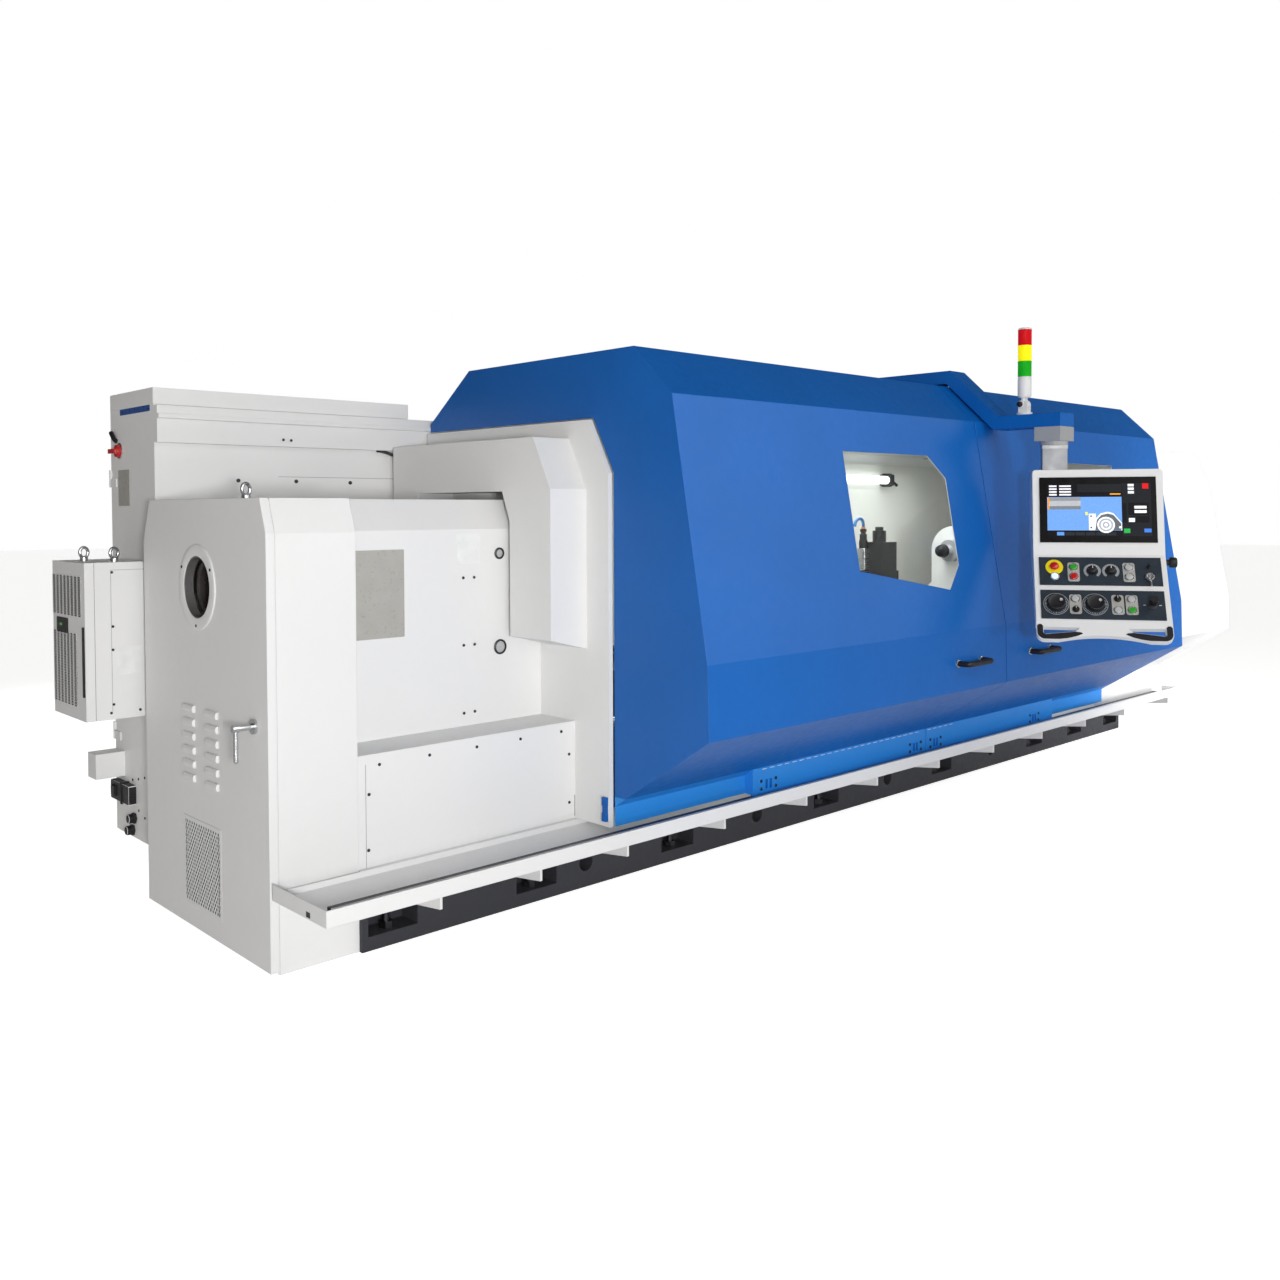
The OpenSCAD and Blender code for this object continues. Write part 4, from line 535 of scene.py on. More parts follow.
headstock = {"screws": [(-2019, 1077), (-1975, 1077), (-2019, 851), (-1975, 851), (-2020, 623), (-1976, 624)],
             "glasses": [(-1870, 1155, 14), (-1869, 834, 20)], "plate": (-1996, 1175), "sheet": (-2343.5, 1038)}
coverFront = faceOf("headstock_cover", "front")
screwSet("coverScrews", "front", coverFront, headstock["screws"], 5)
for k, (x, z, r) in enumerate(headstock["glasses"]):
    rim = turned([(0, -0.4), (r + 6, -0.4), (r + 6, 3), (r + 3, 5), (r, 5), (r, 1.2), (0, 1.2)], 36)
    fitted(f"sightRim{k}", rim, (x, coverFront, z), "front", "dark_steel")
    dome = turned([(0, 3.4), (0.6 * r, 3.0), (r - 0.5, 1.6), (r - 0.5, 0.8), (0, 0.8)], 32)
    fitted(f"sightGlass{k}", dome, (x, coverFront, z), "front", "grey_plastic")
x, z = headstock["plate"]
fitted("barePlate", plate(93, 102, 4, sunk, 1.2, 0.5), (x, coverFront, z), "front", "white_paint", finish=markWhite)
x, z = headstock["sheet"]
fitted("beigePlate", plate(193, 280, 3, sunk, 0.8, 0.3), (x, coverFront, z), "front", "grey_plastic", finish=beigePlate)

lowerFront, cabinetFront = -458, 480
lowerScrews = [(-2453, 546), (-2277, 548), (-2100, 548), (-1925, 549), (-1751, 550), (-1717, 468), (-1717, 302),
               (-2489, 462), (-2492, 296)]
hatchBolts = [(-2452, 1411), (-2231, 1411), (-2010, 1409), (-1791, 1408)]
screwSet("lowerCoverScrews", "front", lowerFront, lowerScrews, 5)
screwSet("cabinetBolts", "front", cabinetFront, hatchBolts, 7, 5)
screwSet("beamDots", "front", faceOf("guide_beam", "front"), [(-2299, 1559), (-2269, 1558)], 5, 2)


def seams(name, depth, strips):  # thin dark strips on a front, each from corner to corner
    corners = [np.array([[a, c], [b, c], [b, d], [a, d]], float) for a, c, b, d in strips]
    part = joined(*[slab(outline, sunk, -sunk) for outline in corners])
    fitted(name, part, (0, depth, 0), "front", "black_plastic", finish=seamGrey, weld=False)


seams("lowerCoverSeams", lowerFront,
      [(-2500, 243, -2498.6, 552), (-2500, 242.2, -1700, 243.6), (-1694, 251, -1691.5, 324)])
seams("hatchSeams", cabinetFront, [(-2300, 1426.4, -1762, 1427.8), (-1763.4, 1345, -1762, 1427.8)])
seams("coolerSeams", cabinetFront,
      [(-2945.6, 616, -2944.2, 1134), (-2893, 1109, -2760, 1110), (-2893, 641, -2892, 1110)])

cabinetSide = {"x": -2744, "dots": [(670, 361), (612, 375), (671, 249), (615, 233), (724, 350)],
               "glands": [(709, 216), (727, 171)], "socket": (783, 299.5), "switch": (800, 1518),
               "tag": [(-2746, 822, 1552), (-2753, 832, 1562), (-2753, 858, 1586)]}
sideX = cabinetSide["x"]
fitted("namelessPlate", plate(277, 42, 3, sunk, 1.0, 0.4), (sideX, 652.5, 1664), "left", "blue_paint", finish=plateBlue)
fitted("palePlate", plate(108, 128, 3, sunk, 1.0, 0.4), (sideX, 764, 1386), "left", "grey_plastic", finish=beigePlate)
fitted("coolerPlate", plate(86, 92, 2, sunk, 0.6, 0.3), (-2837, cabinetFront, 808), "front", "white_paint",
       finish=markWhite)
screwSet("sideDots", "left", sideX, cabinetSide["dots"], 4.5, 2)
plug = joined(plate(176, 69, 7, 0, 27, 3), moved(plate(40, 40, 5, 0, 34, 4), (-50, 0, 0)),
              moved(plate(10, 78, 3, 0, 31, 2), (20, 0, 0)))
fitted("supplySocket", plug, (sideX, *cabinetSide["socket"]), "left", "black_plastic")
gland = joined(turned([(0, 9), (20, 9), (20.5, 8), (20.5, 0), (0, 0)], 6),
               turned([(0, 28), (8, 28), (13, 27), (16.2, 23), (16.2, 6), (0, 6)], 28, 14, 0.3))
glands = joined(*[place(gland, (sideX, y, z), "left") for y, z in cabinetSide["glands"]])
makePiece("supplyGlands", glands, "black_plastic")
switchRing = turned([(22.8, 0), (29, 0), (29, 2.4), (27, 4), (24, 4), (22.8, 3), (22.8, 0)], 40)
fitted("switchRing", switchRing, (sideX, *cabinetSide["switch"]), "left", "bright_steel")
makePiece("switchTag", pipe(softened(cabinetSide["tag"], 2), 8.0, (1, 0, 0), 14), "black_plastic")

hookAt = (-1690.5, -617, 305)
fitted("guardLug", plate(36, 86, 4, sunk, 5, 1), hookAt, "left", "white_paint")
latch = joined(repeated(plate(24, 30, 3, 4.5, 15, 1.5), [(5, 26, 0), (5, -26, 0)]),
               moved(plate(22, 80, 3, 4.5, 12, 1), (5, 0, 0)))
fitted("guardHook", latch, hookAt, "left", "blue_paint", finish=armBlue)

runner = {"y": -688, "glintHigh": 335.5, "glintPitch": 44, "paintedGlints": {"left": (-960, 90), "right": (150, 350)},
          "groups": [("left", -980, -896, 292, 263), ("left", -1, 82, 290, 259),
                     ("right", 158, 240, 289, 257), ("right", 1045, 1130, 286, 254)]}
runnerAt = (0, runner["y"], 0)
for k, (side, x0, x1, z1, z0) in enumerate(runner["groups"]):
    body = side + "_hood_body"
    screwSet(f"runnerScrews{k}", "front", runner["y"], [(x0, z0), (x0, z1), (x1, z0), (x1, z1)], 6.5, body=body)
    lugs = repeated(plate(11, 36, 3, sunk, 3, 1), [(x0 + (x1 - x0) * t, (z0 + z1) / 2, 0) for t in (0.36, 0.64)])
    fitted(f"runnerLugs{k}", lugs, runnerAt, "front", "blue_paint", body, finish=armBlue)
# white dashes along the runner's top edge: painted highlights, a painted reflection of light through gaps
for side, (x0, x1) in runner["paintedGlints"].items():
    spots = [(x, runner["glintHigh"], 0) for x in np.arange(x0, x1, runner["glintPitch"])]
    paintedGlints = repeated(plate(26, 2.2, 0.8, sunk, 0.5, k=3), spots)
    fitted(side + "PaintedGlints", paintedGlints, runnerAt, "front", "white_paint", side + "_hood_body", finish=markWhite)
print("sheet covers dressed")

doorFace, axisHigh, doorBody = -2802, 1071, "end_door_body"
boreAt = (doorFace, 0, axisHigh)
ringScrews = [(107, 1130), (-102, 1127), (4, 953)]
bead = turned([(127.6, 0), (130, 0), (131.5, 2), (130, 4.6), (128, 5.4), (118, 5.6), (100, 5.6), (96, 4.4),
               (95.2, 0)], 96)
fitted("barHoleRing", bead, boreAt, "left", "white_paint", doorBody)
liner = turned([(94.9, 3.0), (91.8, 2.2), (91.8, -24), (94.9, -24), (94.9, 3.0)], 96)
fitted("barHoleLiner", liner, boreAt, "left", "machined_steel", doorBody, finish=tubeSilver)
tubeEnd = {"x": -2769, "wall": 75.7, "inner": 73.6, "deep": -260}
wall, inner, deep = tubeEnd["wall"], tubeEnd["inner"], tubeEnd["deep"]
sleeve = turned([(wall, deep), (inner, deep), (inner, -2), (78, 1.4), (89, 1.4), (91, 0.1), (wall, 0.1),
                 (wall, deep)], 96)
fitted("spindleSleeve", sleeve, (tubeEnd["x"], 0, axisHigh), "left", "dark_steel", "spindle_body",
       finish=tubeDark, crease=50)
screwSet("ringScrews", "left", doorFace - 5, ringScrews, 5, 2, doorBody)


def perforated(width, height, cols, rows, hole, thick, shift):  # a cell of sheet round every hole, odd rows shifted
    w, h = width / (cols + shift), height / rows
    n = len(hole)
    a = np.arctan2(hole[:, 1], hole[:, 0])
    reach = 1 / np.maximum(np.abs(np.cos(a)) / (w / 2), np.abs(np.sin(a)) / (h / 2))
    outer = np.column_stack([reach * np.cos(a), reach * np.sin(a)])
    p = stacked([(outer, 0.0), (outer, thick), (hole, thick), (hole, 0.0)])
    c, r = np.meshgrid(np.arange(cols), np.arange(rows))
    x = (c + 0.5 + shift * (r % 2)) * w - width / 2
    at = np.column_stack([x.ravel(), ((r + 0.5) * h - height / 2).ravel(), np.zeros(c.size)])
    return repeated((p, gridFaces(4, n, True, True)), at)


field = {"at": (doorFace, -7.5, 214.5), "w": 251, "h": 253, "cols": 14, "rows": 22, "hole": 5.2}
sheet = {"thick": 1.2, "out": 0.4, "back": 0.35}  # every perforated field and the near-black plate behind it, painted shade seen through the holes
fieldW, fieldH = field["w"], field["h"]
holes = perforated(fieldW, fieldH, field["cols"], field["rows"], circle(field["hole"], 12), sheet["thick"], 0.5)
border = collar(roundedRect(fieldW + 24, fieldH + 24, 3), roundedRect(fieldW - 1, fieldH - 1, 1), 0,
                sheet["thick"] + 0.02, 0.4)
fitted("doorField", moved(joined(holes, border), (0, 0, sheet["out"])), field["at"], "left", "white_paint", doorBody,
       weld=False)
# painted shade behind the door's holes
fitted("doorFieldShadeBack", plate(fieldW + 8, fieldH + 8, 2, sunk, sheet["back"]), field["at"], "left", "black_plastic",
       doorBody, finish=holeShadeBlack)


cooler = {"vents": [((513, 798), (955, 1090), 8, 16), ((562, 796), (655, 900), 7, 27)],
          "display": (701, 920.5), "digits": (712, 922), "strip": 5,
          "screws": [(-2889, 1102), (-2888, 923), (-2889, 846), (-2889, 665), (-2897, 637), (-2804, 638)]}
coolerFace = faceOf("cooling_unit", "left") + cooler["strip"]  # the strip stands in front of the sheet
for k, ((y0, y1), (z0, z1), cols, rows) in enumerate(cooler["vents"]):
    w, h = y1 - y0, z1 - z0
    slotW, slotH = w / cols * 0.72, h / rows * 0.5
    at = (coolerFace, (y0 + y1) / 2, (z0 + z1) / 2)
    hole = roundedRect(slotW, slotH, slotH / 2 - 0.05, 3)
    part = moved(perforated(w, h, cols, rows, hole, sheet["thick"], 0.0), (0, 0, sheet["out"]))
    fitted(f"ventField{k}", part, at, "left", "white_paint", weld=False)
    # painted shade behind the vent slots
    fitted(f"ventShadeBack{k}", plate(w - 2, h - 2, 2, sunk, sheet["back"]), at, "left", "black_plastic", finish=holeShadeBlack)
fitted("coolerDisplay", plate(112, 51, 4, sunk, 2.5, 1.0), (coolerFace, *cooler["display"]), "left", "black_plastic")
fitted("coolerDigits", plate(26, 9, 1, 2.4, 2.9, 0.2), (coolerFace, *cooler["digits"]), "left", "green_plastic")
screwSet("coolerScrews", "front", cabinetFront, cooler["screws"], 4.5)


tower = {"at": (249.5, -1075, 0), "body": 1851, "lens": 65, "cap": 2053.9, "r": 27.5, "knob": (217.5, -1075, 1735)}
towerAt, r, z0 = tower["at"], tower["r"], tower["body"]
towerBody = turned([(0, 1764), (r - 5, 1764), (r - 1, 1770), (r, 1775), (r, 1842), (r - 1.5, 1843), (r - 1.5, 1846),
                    (r, 1847), (r, z0 - 0.5), (r - 2, z0), (0, z0)], 48)
fitted("towerBody", towerBody, towerAt, "top", "white_paint", "tower_body")
lenses = {"lensGreen": lensGreen, "lensYellow": finishes["lens_colours"], "lensRed": lensRed}
for k, (name, finish) in enumerate(lenses.items()):
    a, b = z0 + k * tower["lens"], z0 + (k + 1) * tower["lens"]
    profile = [(0, a + 0.2), (r - 1.5, a + 0.2), (r - 1.5, a + 2), (r - 0.5, a + 3), (r - 0.5, b - 6), (r, b - 5),
               (r, b - 0.6), (r - 1, b - 0.2), (0, b - 0.2)]
    fitted(name, turned(profile, 96, 24, 0.35), towerAt, "top", "lens_colours", "tower_body", finish=finish, crease=50)
top = z0 + 3 * tower["lens"]
towerCap = turned([(0, top), (r, top), (r, top + 3), (r - 3, top + 6.5), (r - 9, tower["cap"]), (0, tower["cap"])], 48)
fitted("towerCap", towerCap, towerAt, "top", "white_paint", "tower_body")
knobRing = turned([(0, -0.3), (15, -0.3), (15, 2.4), (13.5, 3.6), (0, 3.6)], 36)
fitted("towerKnobRing", knobRing, tower["knob"], "left", "white_paint", finish=markWhite)
knob = turned([(0, 17), (7, 16.6), (10.4, 14.4), (11.6, 11), (11.6, 5), (9, 3.5), (0, 3.5)], 40, 10, 0.4)
fitted("towerKnob", knob, tower["knob"], "left", "black_plastic", crease=50)
pin = turned([(0, -8), (20, -8), (21, -7), (21, 7), (20, 8), (0, 8)], 40)
knuckle = joined(place(pin, (0, 0, 1735), "alongX"), plate(34, 14, 4, 1740, 1766))
lug = makePiece("towerKnuckle", moved(knuckle, towerAt), "white_paint", "tower_body")
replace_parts(lug, "tower_light")


panel = {"stem": (249.5, -1206), "turn": 58.0, "back": 144, "fold": 1118, "desk": 33.0, "screen": 14.0, "plate": 5.0}
turnC, turnS = math.cos(math.radians(panel["turn"])), math.sin(math.radians(panel["turn"]))
foldAt = (panel["stem"][0] - panel["back"] * turnS, panel["stem"][1] - panel["back"] * turnC, panel["fold"])


def onPanel(part, tilt, by=(0, 0, 0)):  # along right, up and out of the desk or of the screen face, from the fold
    c, s = math.cos(math.radians(panel[tilt])), math.sin(math.radians(panel[tilt]))
    return place(moved(part, by), foldAt, ((turnC, -turnS, 0), (s * turnS, s * turnC, c), (-c * turnS, -c * turnC, s)))


def deskPiece(name, part, s, h, slotName, body="panel_body", **look):  # a piece made on a plate of the desk
    return makePiece(name, onPanel(part, "desk", (s, h, panel["plate"])), slotName, body, **look)


def control(node, ending, part, s, h, slotName, **look):  # a piece that stands for the node and moves with it
    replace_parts(deskPiece(node + ending, part, s, h, slotName, node + "_body", **look), node)


twins = [(59, -81, 0), (262, -81, 0), (59, -225, 0), (212, -225, 0), (262, -225, 0)]
deskPiece("twinPlates", repeated(plate(44, 86, 9, -0.1, 0.24, 0.1), twins), 0, 0, "grey_plastic", finish=beigePlate)

buttonCap = [(0, 7.3), (9.5, 7.3), (11.5, 7.0), (13.2, 5.6), (13.5, 4.2), (13.5, 3.3), (8, 3.3), (8, -4), (0, -4)]
rimProfile = [(14.0, 0.1), (17.6, 0.1), (17.6, 2.4), (16.6, 3.4), (14.6, 3.4), (14.0, 2.8), (14.0, 0.1)]
controls = {
    "start_button": (-12, -102, "white_plastic"), "green_button": (59, -60, "green_plastic"),
    "red_button": (59, -102, "red_plastic"), "grey_button_a": (262, -60, "grey_plastic"),
    "grey_button_b": (262, -102, "grey_plastic"), "lamp_button": (59, -201, "grey_plastic"),
    "grey_button_c": (212, -249, "grey_plastic"), "grey_button_d": (262, -201, "grey_plastic"),
    "cycle_button": (262, -249, "green_plastic"),
}
for name, (s, h, slotName) in controls.items():
    control(name, "Cap", turned(buttonCap, 36), s, h, slotName)
rims = repeated(turned(rimProfile, 40), [(s, h, 0) for s, h, _ in controls.values()])
deskPiece("buttonRims", rims, 0, 0, "bright_steel")

stop = {"at": (-12, -60), "disc": 33, "button": np.array([0, -42]), "bite": 18.4}
disc = circle(stop["disc"], 96)  # round, but for the bite that leaves the start button's rim free
toButton = disc - stop["button"]
gap = np.linalg.norm(toButton, axis=1)[:, None]
disc = np.where(gap < stop["bite"], toButton / gap * stop["bite"] + stop["button"], disc)
discPart = joined(collar(disc, circle(18.6, 96), 0.1, 2.8, 0.7), collar(circle(18.7, 96), circle(8.6, 96), 0.1, 0.25))
deskPiece("stopDisc", discPart, *stop["at"], "lens_colours", finish=yellowPlate)
mushroom = turned([(0, 20), (8, 19.6), (13, 17.6), (16, 14), (17, 10.5), (16.4, 8.2), (12, 7), (11, 4.4), (8, 4.3),
                   (8, -4), (0, -4)], 48)
stopCap = deskPiece("stopMushroom", mushroom, *stop["at"], "red_plastic", "emergency_stop_body")
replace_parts(stopCap, "emergency_stop")

knob = turned([(0, 20), (12, 20), (14.5, 19), (16.6, 16), (17.4, 6), (17.8, 3.4), (8, 3.3), (8, -4), (0, -4)],
              72, 18, 0.55)
pointer = plate(2.4, 13, 1, 19.9, 20.3, 0.1)
scale = slab(arcBand(22, 32, -50, 230), 0.0, 0.5, 0.1)
ticks = joined(*[moved(slab(roundedRect(1.1, 6, 0.4, 2) + [0, 27], 0.45, 0.75), turn=a) for a in range(-140, 141, 20)])
for name, (s, h) in {"feed_dial": (128, -76), "speed_dial": (196, -76)}.items():
    control(name, "Knob", knob, s, h, "black_plastic", crease=50)
    deskPiece(name + "Pointer", pointer, s, h + 9, "white_plastic", name + "_body", finish=markWhite)
    deskPiece(name + "Scale", scale, s, h, "grey_plastic", finish=scaleGrey)
    deskPiece(name + "Ticks", ticks, s, h, "white_plastic", finish=markWhite)

wheel = turned([(0, 20.4), (8, 20.4), (20, 20.8), (27, 22.6), (30.5, 24), (32.6, 22.8), (33, 19), (31.6, 8), (31, 3.4),
                (8, 3.3), (8, -4), (0, -4)], 96, 32, 0.35)
dimple = turned([(0, 22.4), (3.6, 22.9), (5.2, 24.0), (6.2, 22.4), (6.2, 20.6), (0, 20.6)], 28)
wheelRing = collar(circle(47.5, 72), circle(45, 72), 0, 0.6, 0.15)
ticks = joined(*[moved(slab(roundedRect(1.2, 5.5 if k % 5 else 8, 0.4, 2) + [0, 39.5], 0.0, 0.4), turn=k * 9)
                 for k in range(40)])
for name, (s, h) in {"handwheel_x": (-12, -225), "handwheel_z": (130, -225)}.items():
    control(name, "Rim", wheel, s, h, "black_plastic", crease=50)
    deskPiece(name + "Dimple", dimple, s + 17, h + 9, "grey_plastic", name + "_body")
    deskPiece(name + "Ring", wheelRing, s, h, "grey_plastic", finish=scaleGrey)
    deskPiece(name + "Ticks", ticks, s, h, "white_plastic", finish=markWhite)

selector = joined(turned([(0, 6), (13, 6), (13.5, 5), (13.5, 3.3), (8, 3.3), (8, -4), (0, -4)], 36),
                  plate(9, 25, 3, 5.5, 14, 1.2))
for name, (s, h) in {"mode_selector": (59, -249), "chuck_selector": (212, -201)}.items():
    control(name, "Lever", selector, s, h, "black_plastic")
    mark = plate(2, 10, 0.8, 13.9, 14.3, 0.1)
    deskPiece(name + "Mark", mark, s, h + 5, "white_plastic", name + "_body", finish=markWhite)

lastColumn = {"s": 335, "toggle": -57, "key": -102, "joystick": -225, "marks": 28}
s = lastColumn["s"]
barrel = turned([(0, 9), (10, 9), (10.6, 10.4), (15, 10.4), (17, 8), (17.4, 3.3), (8, 3.3), (8, -4), (0, -4)], 40)
keyBow = joined(plate(2.2, 10, 0.5, 8.8, 17),
                moved(collar(circle(9.5, 28), circle(4.5, 28), 12, 14.4, 0.3), (0, -13, 0)),
                moved(plate(5, 26, 2, 12.4, 14, 0.3), (1.5, -34, 0)))
key = deskPiece("keyBarrel", joined(barrel, keyBow), s, lastColumn["key"], "bright_steel", "key_switch_body")
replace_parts(key, "key_switch")
boot = turned([(0, 21), (5, 21), (8, 19), (11, 14.5), (9.8, 13.4), (14, 9.5), (12.8, 8.4), (17, 4), (17, 0.2),
               (0, 0.2)], 40)
deskPiece("joystickBoot", boot, s, lastColumn["joystick"], "belt_rubber")
marks = repeated(plate(9, 2, 0.6, 0, 0.4), [(-lastColumn["marks"], 0, 0), (lastColumn["marks"], 0, 0)])
deskPiece("joystickMarks", marks, s, lastColumn["joystick"], "white_plastic", finish=markWhite)
toggle = joined(turned([(0, 4), (8, 4), (9, 3), (9, 0.1), (0, 0.1)], 6),
                turned([(0, 22), (3.6, 21), (4.2, 18), (2.6, 4), (0, 3)], 20))
deskPiece("toggleSwitch", toggle, s, lastColumn["toggle"], "black_plastic")

corner = np.radians(np.linspace(180, 270, 9))
padOutline = np.vstack([[(-70, -312), (-79, -312), (-85.4, -319)],
                        np.column_stack([-57 + 28.4 * np.cos(corner), -346 + 28.4 * np.sin(corner)]),
                        [(-6, -374.4), (24, -370), (54, -362), (80, -350), (74, -345), (54, -342.5), (0, -348.5),
                         (-54, -355.6), (-61, -353.6), (-64, -348), (-64, -319)]])
pad = slab(padOutline, -0.6, 2.4, 1.0)
mirrored = pad[0] * [-1, 1, 1] + [313, 0, 0], pad[1]
makePiece("gripPads", onPanel(joined(pad, mirrored), "desk"), "black_plastic", "panel_body")
sideKnob = turned([(0, 0), (11, 0), (11, 14), (18, 15.5), (20, 19), (20, 38), (17, 43), (0, 44.5)], 48, 12, 0.5)
sideKnob = onPanel(place(sideKnob, (401, -18, -24), "alongX"), "desk")
makePiece("panelSideKnob", sideKnob, "black_plastic", "panel_body", crease=50)

post = {"low": 1459.2, "ring": 1545, "high": 1559.2, "bore": roundedRect(95.1, 95.1, 0.5)}
postAt, postAxes = (*panel["stem"], 0), ((turnC, -turnS, 0), (turnS, turnC, 0), (0, 0, 1))
sleeve = collar(roundedRect(95.9, 95.9, 0.9), post["bore"], post["low"], post["ring"], 0.1)
fitted("postSleeve", sleeve, postAt, postAxes, "machined_steel", "panel_body", finish=galvanised)
postRing = collar(roundedRect(99, 99, 2), post["bore"], post["ring"] + 0.2, post["high"], 0.8)
fitted("postRing", postRing, postAt, postAxes, "grey_plastic", "panel_body")
print("panel dressed")

screenArea = {"low": np.array([-33, 76]), "size": np.array([388, 215]), "n": 5.0, "layer": 0.08}
night, black, slate = (0.003, 0.003, 0.004), (0.002, 0.002, 0.003), (0.016, 0.018, 0.022)
pale, silver, ash = (0.75, 0.76, 0.78), (0.72, 0.74, 0.77), (0.68, 0.69, 0.71)
picture = [  # left, top, right, bottom in parts of the area, layer, colour
    (0, 0, 1, 1, 0, night), (0.296, 0.012, 0.722, 0.165, 1, (0.01, 0.011, 0.013)),
    (0.726, 0, 1, 1, 1, (0.008, 0.009, 0.011)), (0, 0.256, 0.72, 0.895, 1, (0.135, 0.3, 0.66)),
    (0.021, 0.262, 0.326, 0.33, 2, (0.22, 0.23, 0.25)), (0.021, 0.33, 0.326, 0.43, 2, (0.38, 0.39, 0.41)),
    (0.021, 0.43, 0.326, 0.493, 2, (0.16, 0.17, 0.19)), (0.004, 0.262, 0.021, 0.493, 2, (0.72, 0.28, 0.02)),
    (0.402, 0.575, 0.47, 0.89, 2, silver), (0.37, 0.545, 0.392, 0.602, 3, (0.85, 0.72, 0.03)),
    (0.782, 0.372, 0.978, 0.605, 2, black), (0.84, 0.43, 0.955, 0.482, 3, pale), (0.84, 0.512, 0.955, 0.565, 3, pale),
    (0.776, 0.628, 0.978, 0.745, 2, black), (0.784, 0.66, 0.842, 0.735, 3, pale), (0.73, 0.372, 0.764, 0.745, 2, black),
    (0.92, 0.002, 0.978, 0.104, 2, (0.55, 0.01, 0.012)), (0.736, 0.86, 0.795, 0.942, 2, (0.02, 0.36, 0.06)),
    (0.928, 0.86, 0.995, 0.93, 2, (0.05, 0.18, 0.62)), (0.092, 0.925, 0.162, 0.99, 2, (0.1, 0.26, 0.62)),
    (0.61, 0.19, 0.712, 0.215, 2, (0.72, 0.3, 0.02)),
]
picture += [(0.782, 0.012 + 0.068 * k, 0.84, 0.06 + 0.068 * k, 2, ash) for k in range(3)]
picture += [(0.17 + 0.1 * k, 0.925, 0.262 + 0.1 * k, 0.99, 2, slate) for k in range(5)]
picture += [(0.02 + 0.1 * (k % 2), 0.03 + 0.055 * (k // 2), 0.095 + 0.14 * (k % 2), 0.062 + 0.055 * (k // 2), 2,
             (0.7, 0.71, 0.73)) for k in range(8)]
turret = np.array([(0.45, 0.11), (0.718, 0.11), (0.718, 0.25), (0.64, 0.43), (0.585, 0.46), (0.515, 0.43),
                   (0.468, 0.33)])
turretFace = (turret - [0.59, 0.25]) * [0.93, 0.9] + [0.592, 0.236]
dots = [((0.566, 0.21), 0.085 - 0.017 * k, (0.33, 0.35, 0.38) if k % 2 else (0.75, 0.76, 0.79)) for k in range(5)]
dots += [((0.7, 0.165), 0.012, (0.75, 0.76, 0.79)), ((0.424, 0.375), 0.009, (0.02, 0.02, 0.02)),
         ((0.424, 0.16), 0.009, (0.02, 0.02, 0.02))]
tiles, tints = [], []


def addTile(outline, low, high, colour, reach=0):  # from parts of the area, or a circle of this reach about a point
    outline = np.asarray(outline) * screenArea["size"] + screenArea["low"]
    if reach:
        outline = circle(reach * screenArea["size"][0], 40) + outline
    tiles.append(slab(outline, screenArea["n"] + low, screenArea["n"] + high))
    tints.extend([colour] * (len(outline) + 2))


for x0, y0, x1, y1, step, colour in picture:
    rise = screenArea["layer"] * step
    addTile([[x0, 1 - y1], [x1, 1 - y1], [x1, 1 - y0], [x0, 1 - y0]], 0.02 + rise, 0.1 + rise, colour)
for outline, step, colour in ((turret, 2, silver), (turretFace, 3, (0.10, 0.11, 0.12))):
    addTile(outline, 0.02 + screenArea["layer"] * step, 0.1 + screenArea["layer"] * step, colour)
for k, (spot, r, colour) in enumerate(dots):  # rings and dots of the turret drawing
    addTile(spot, 0.3 + 0.04 * k, 0.4 + 0.04 * k, colour, r)
screenFinish = tintedBy("screenPicture", "tint", rough=0.2, glow=0.75)
screenPiece = makePiece("screenPicture", onPanel(joined(*tiles), "screen"), "screen_glass", "panel_body",
                        finish=screenFinish, weld=False)
layer = screenPiece.data.color_attributes.new("tint", "FLOAT_COLOR", "CORNER")
counts = np.array([len(p.vertices) for p in screenPiece.data.polygons])
rgba = np.column_stack([np.array(tints), np.ones(len(tints))])
layer.data.foreach_set("color", np.repeat(rgba, counts, axis=0).ravel())


bow = {"thick": 11.5, "inset": 24, "foot": [(0, 4), (10, 4), (15, 3), (16.5, 0), (16.5, -1), (0, -1)]}
for side in ("left", "right"):
    low, high = (np.array(v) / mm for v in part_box(side + "_grip"))
    z = (low[2] + high[2]) / 2
    inner, outer = high[1] - 2, low[1] + bow["thick"] + 1
    a, b = low[0] + bow["inset"], high[0] - bow["inset"]
    path = softened([(a, inner, z), (a, outer + 14, z), (a + 4, outer, z), (a + 30, outer, z), (b - 30, outer, z),
                     (b - 4, outer, z), (b, outer + 14, z), (b, inner, z)], 4)
    body = side + "_hood_body"
    grip = makePiece(side + "Bow", pipe(path, bow["thick"], (0, 0, 1), 20), "black_plastic", body, crease=60)
    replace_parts(grip, side + "_grip")
    feet = repeated(turned(bow["foot"], 28), [(a, z, 0), (b, z, 0)])
    fitted(side + "BowFeet", feet, (0, high[1] - 1, 0), "front", "bright_steel", body)

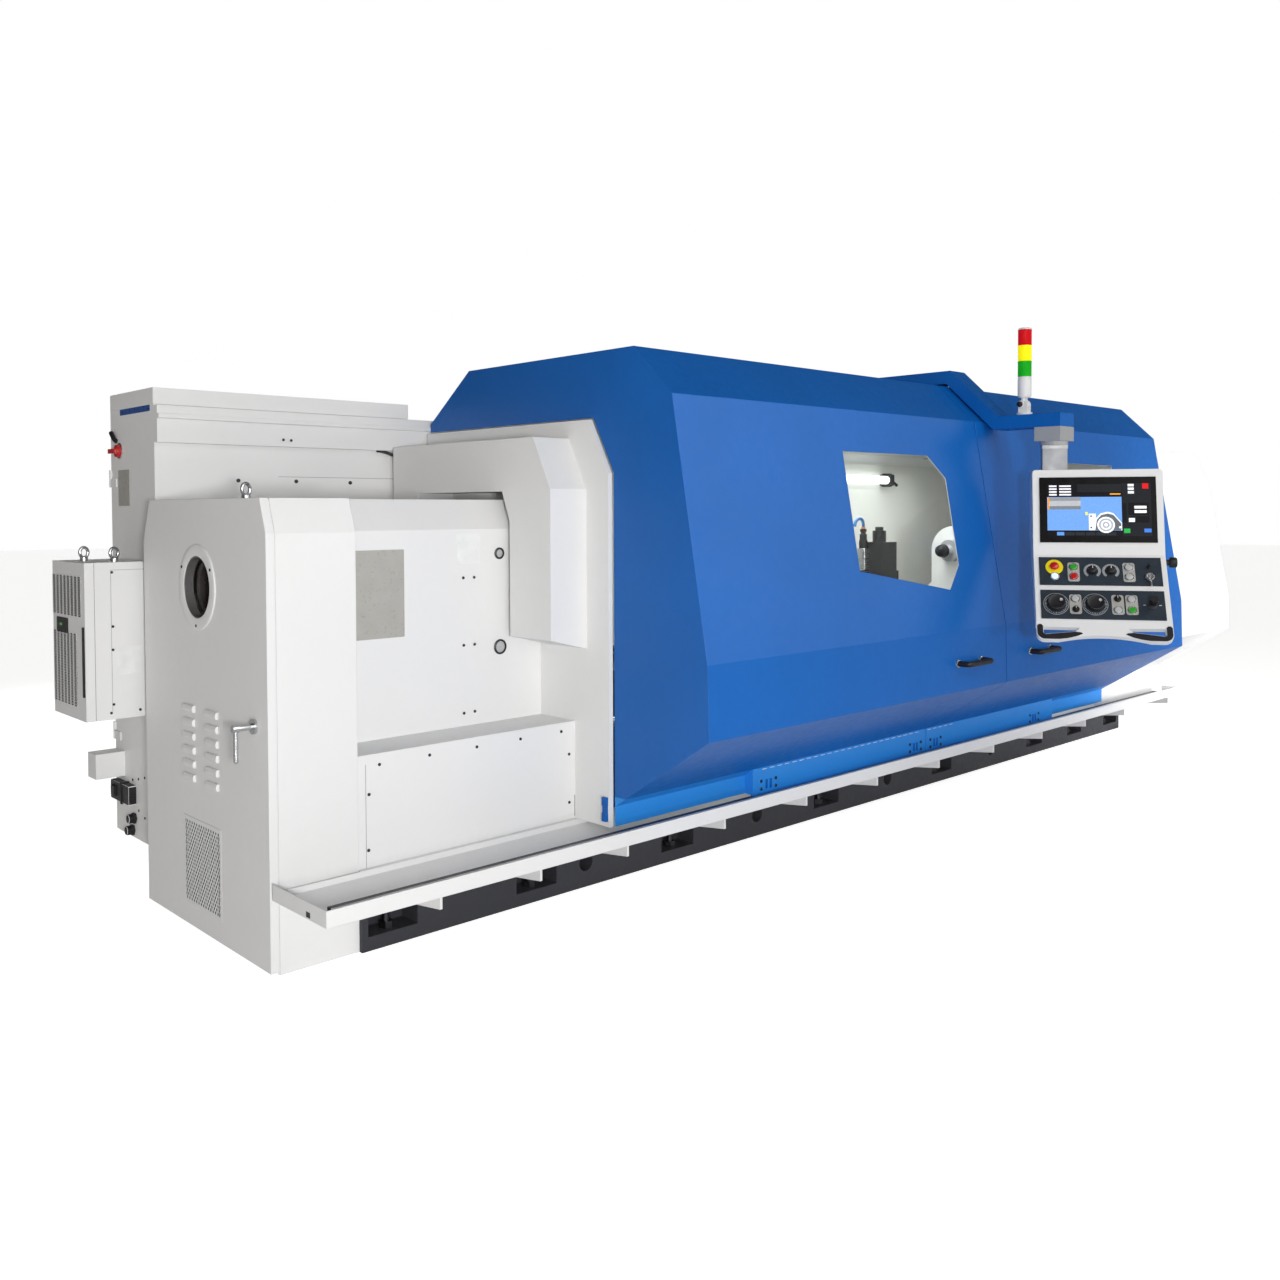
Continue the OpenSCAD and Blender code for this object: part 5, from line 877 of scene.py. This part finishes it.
workLamp = {"at": (1392, 401, 1470), "rod": [(1428, 401, 1469), (1462, 401, 1464), (1505, 399, 1441)]}
clamp = joined(plate(77, 64, 6, 0, 39.5, 4), plate(60, 76, 8, 8, 30, 3))
fitted("lampClamp", clamp, workLamp["at"], "alongX", "black_plastic")
makePiece("lampRod", pipe(softened(workLamp["rod"]), 9, (0, 1, 0), 16), "black_plastic", crease=60)

nose = turned([(0, 54), (12, 52.6), (23, 47), (31, 37), (34.5, 24), (34.5, 6), (37, 4), (37, -0.4), (0, -0.4)], 48)
fitted("quillNose", nose, (1365, 0, axisHigh), "left", "black_plastic", "quill_body", crease=60)

holder = {"body": "cross_slide_body", "block": (439, -128, 1005), "stack": (439, -128, 1112), "hose": (439, -128, 1206),
          "cap": (484, -190, 1141), "bead": 8.2, "beads": 12,
          "way": [(0, 0, 8), (0, 0, 28), (-12, 0, 48), (-42, 0, 52), (-66, 0, 34), (-70, 0, 12)]}
fitted("holderBlock", plate(42, 44, 4, 0, 107, 2), holder["block"], "top", "machined_steel", holder["body"])
stack = turned([(0, 94), (14, 94), (16, 92), (16, 80), (12, 78), (12, 70), (18, 68), (18, 40), (21, 38), (21, 4),
                (20, 2), (20, -0.4), (0, -0.4)], 40)
fitted("toolStack", stack, holder["stack"], "top", "black_plastic", holder["body"])
hoseRing = turned([(0, -0.4), (10, -0.4), (11, 1), (11, 8), (9.5, 9.5), (0, 9.5)], 32)
fitted("hoseRing", hoseRing, holder["hose"], "top", "red_plastic", holder["body"], finish=hoseOrange)
hosePath = softened(np.array(holder["hose"]) + np.array(holder["way"]), 4)
beads = holder["bead"] * (0.82 + 0.18 * np.abs(np.sin(np.linspace(0, holder["beads"] * np.pi, len(hosePath)))))
makePiece("coolantHose", pipe(hosePath, beads, (0, 1, 0), 18), "blue_paint", holder["body"], hoseBlue, crease=80)
cap = turned([(0, 27), (8, 27), (10, 25), (10, 14), (13, 12), (13, -0.4), (0, -0.4)], 28)
fitted("holderCap", cap, holder["cap"], "top", "black_plastic", holder["body"])
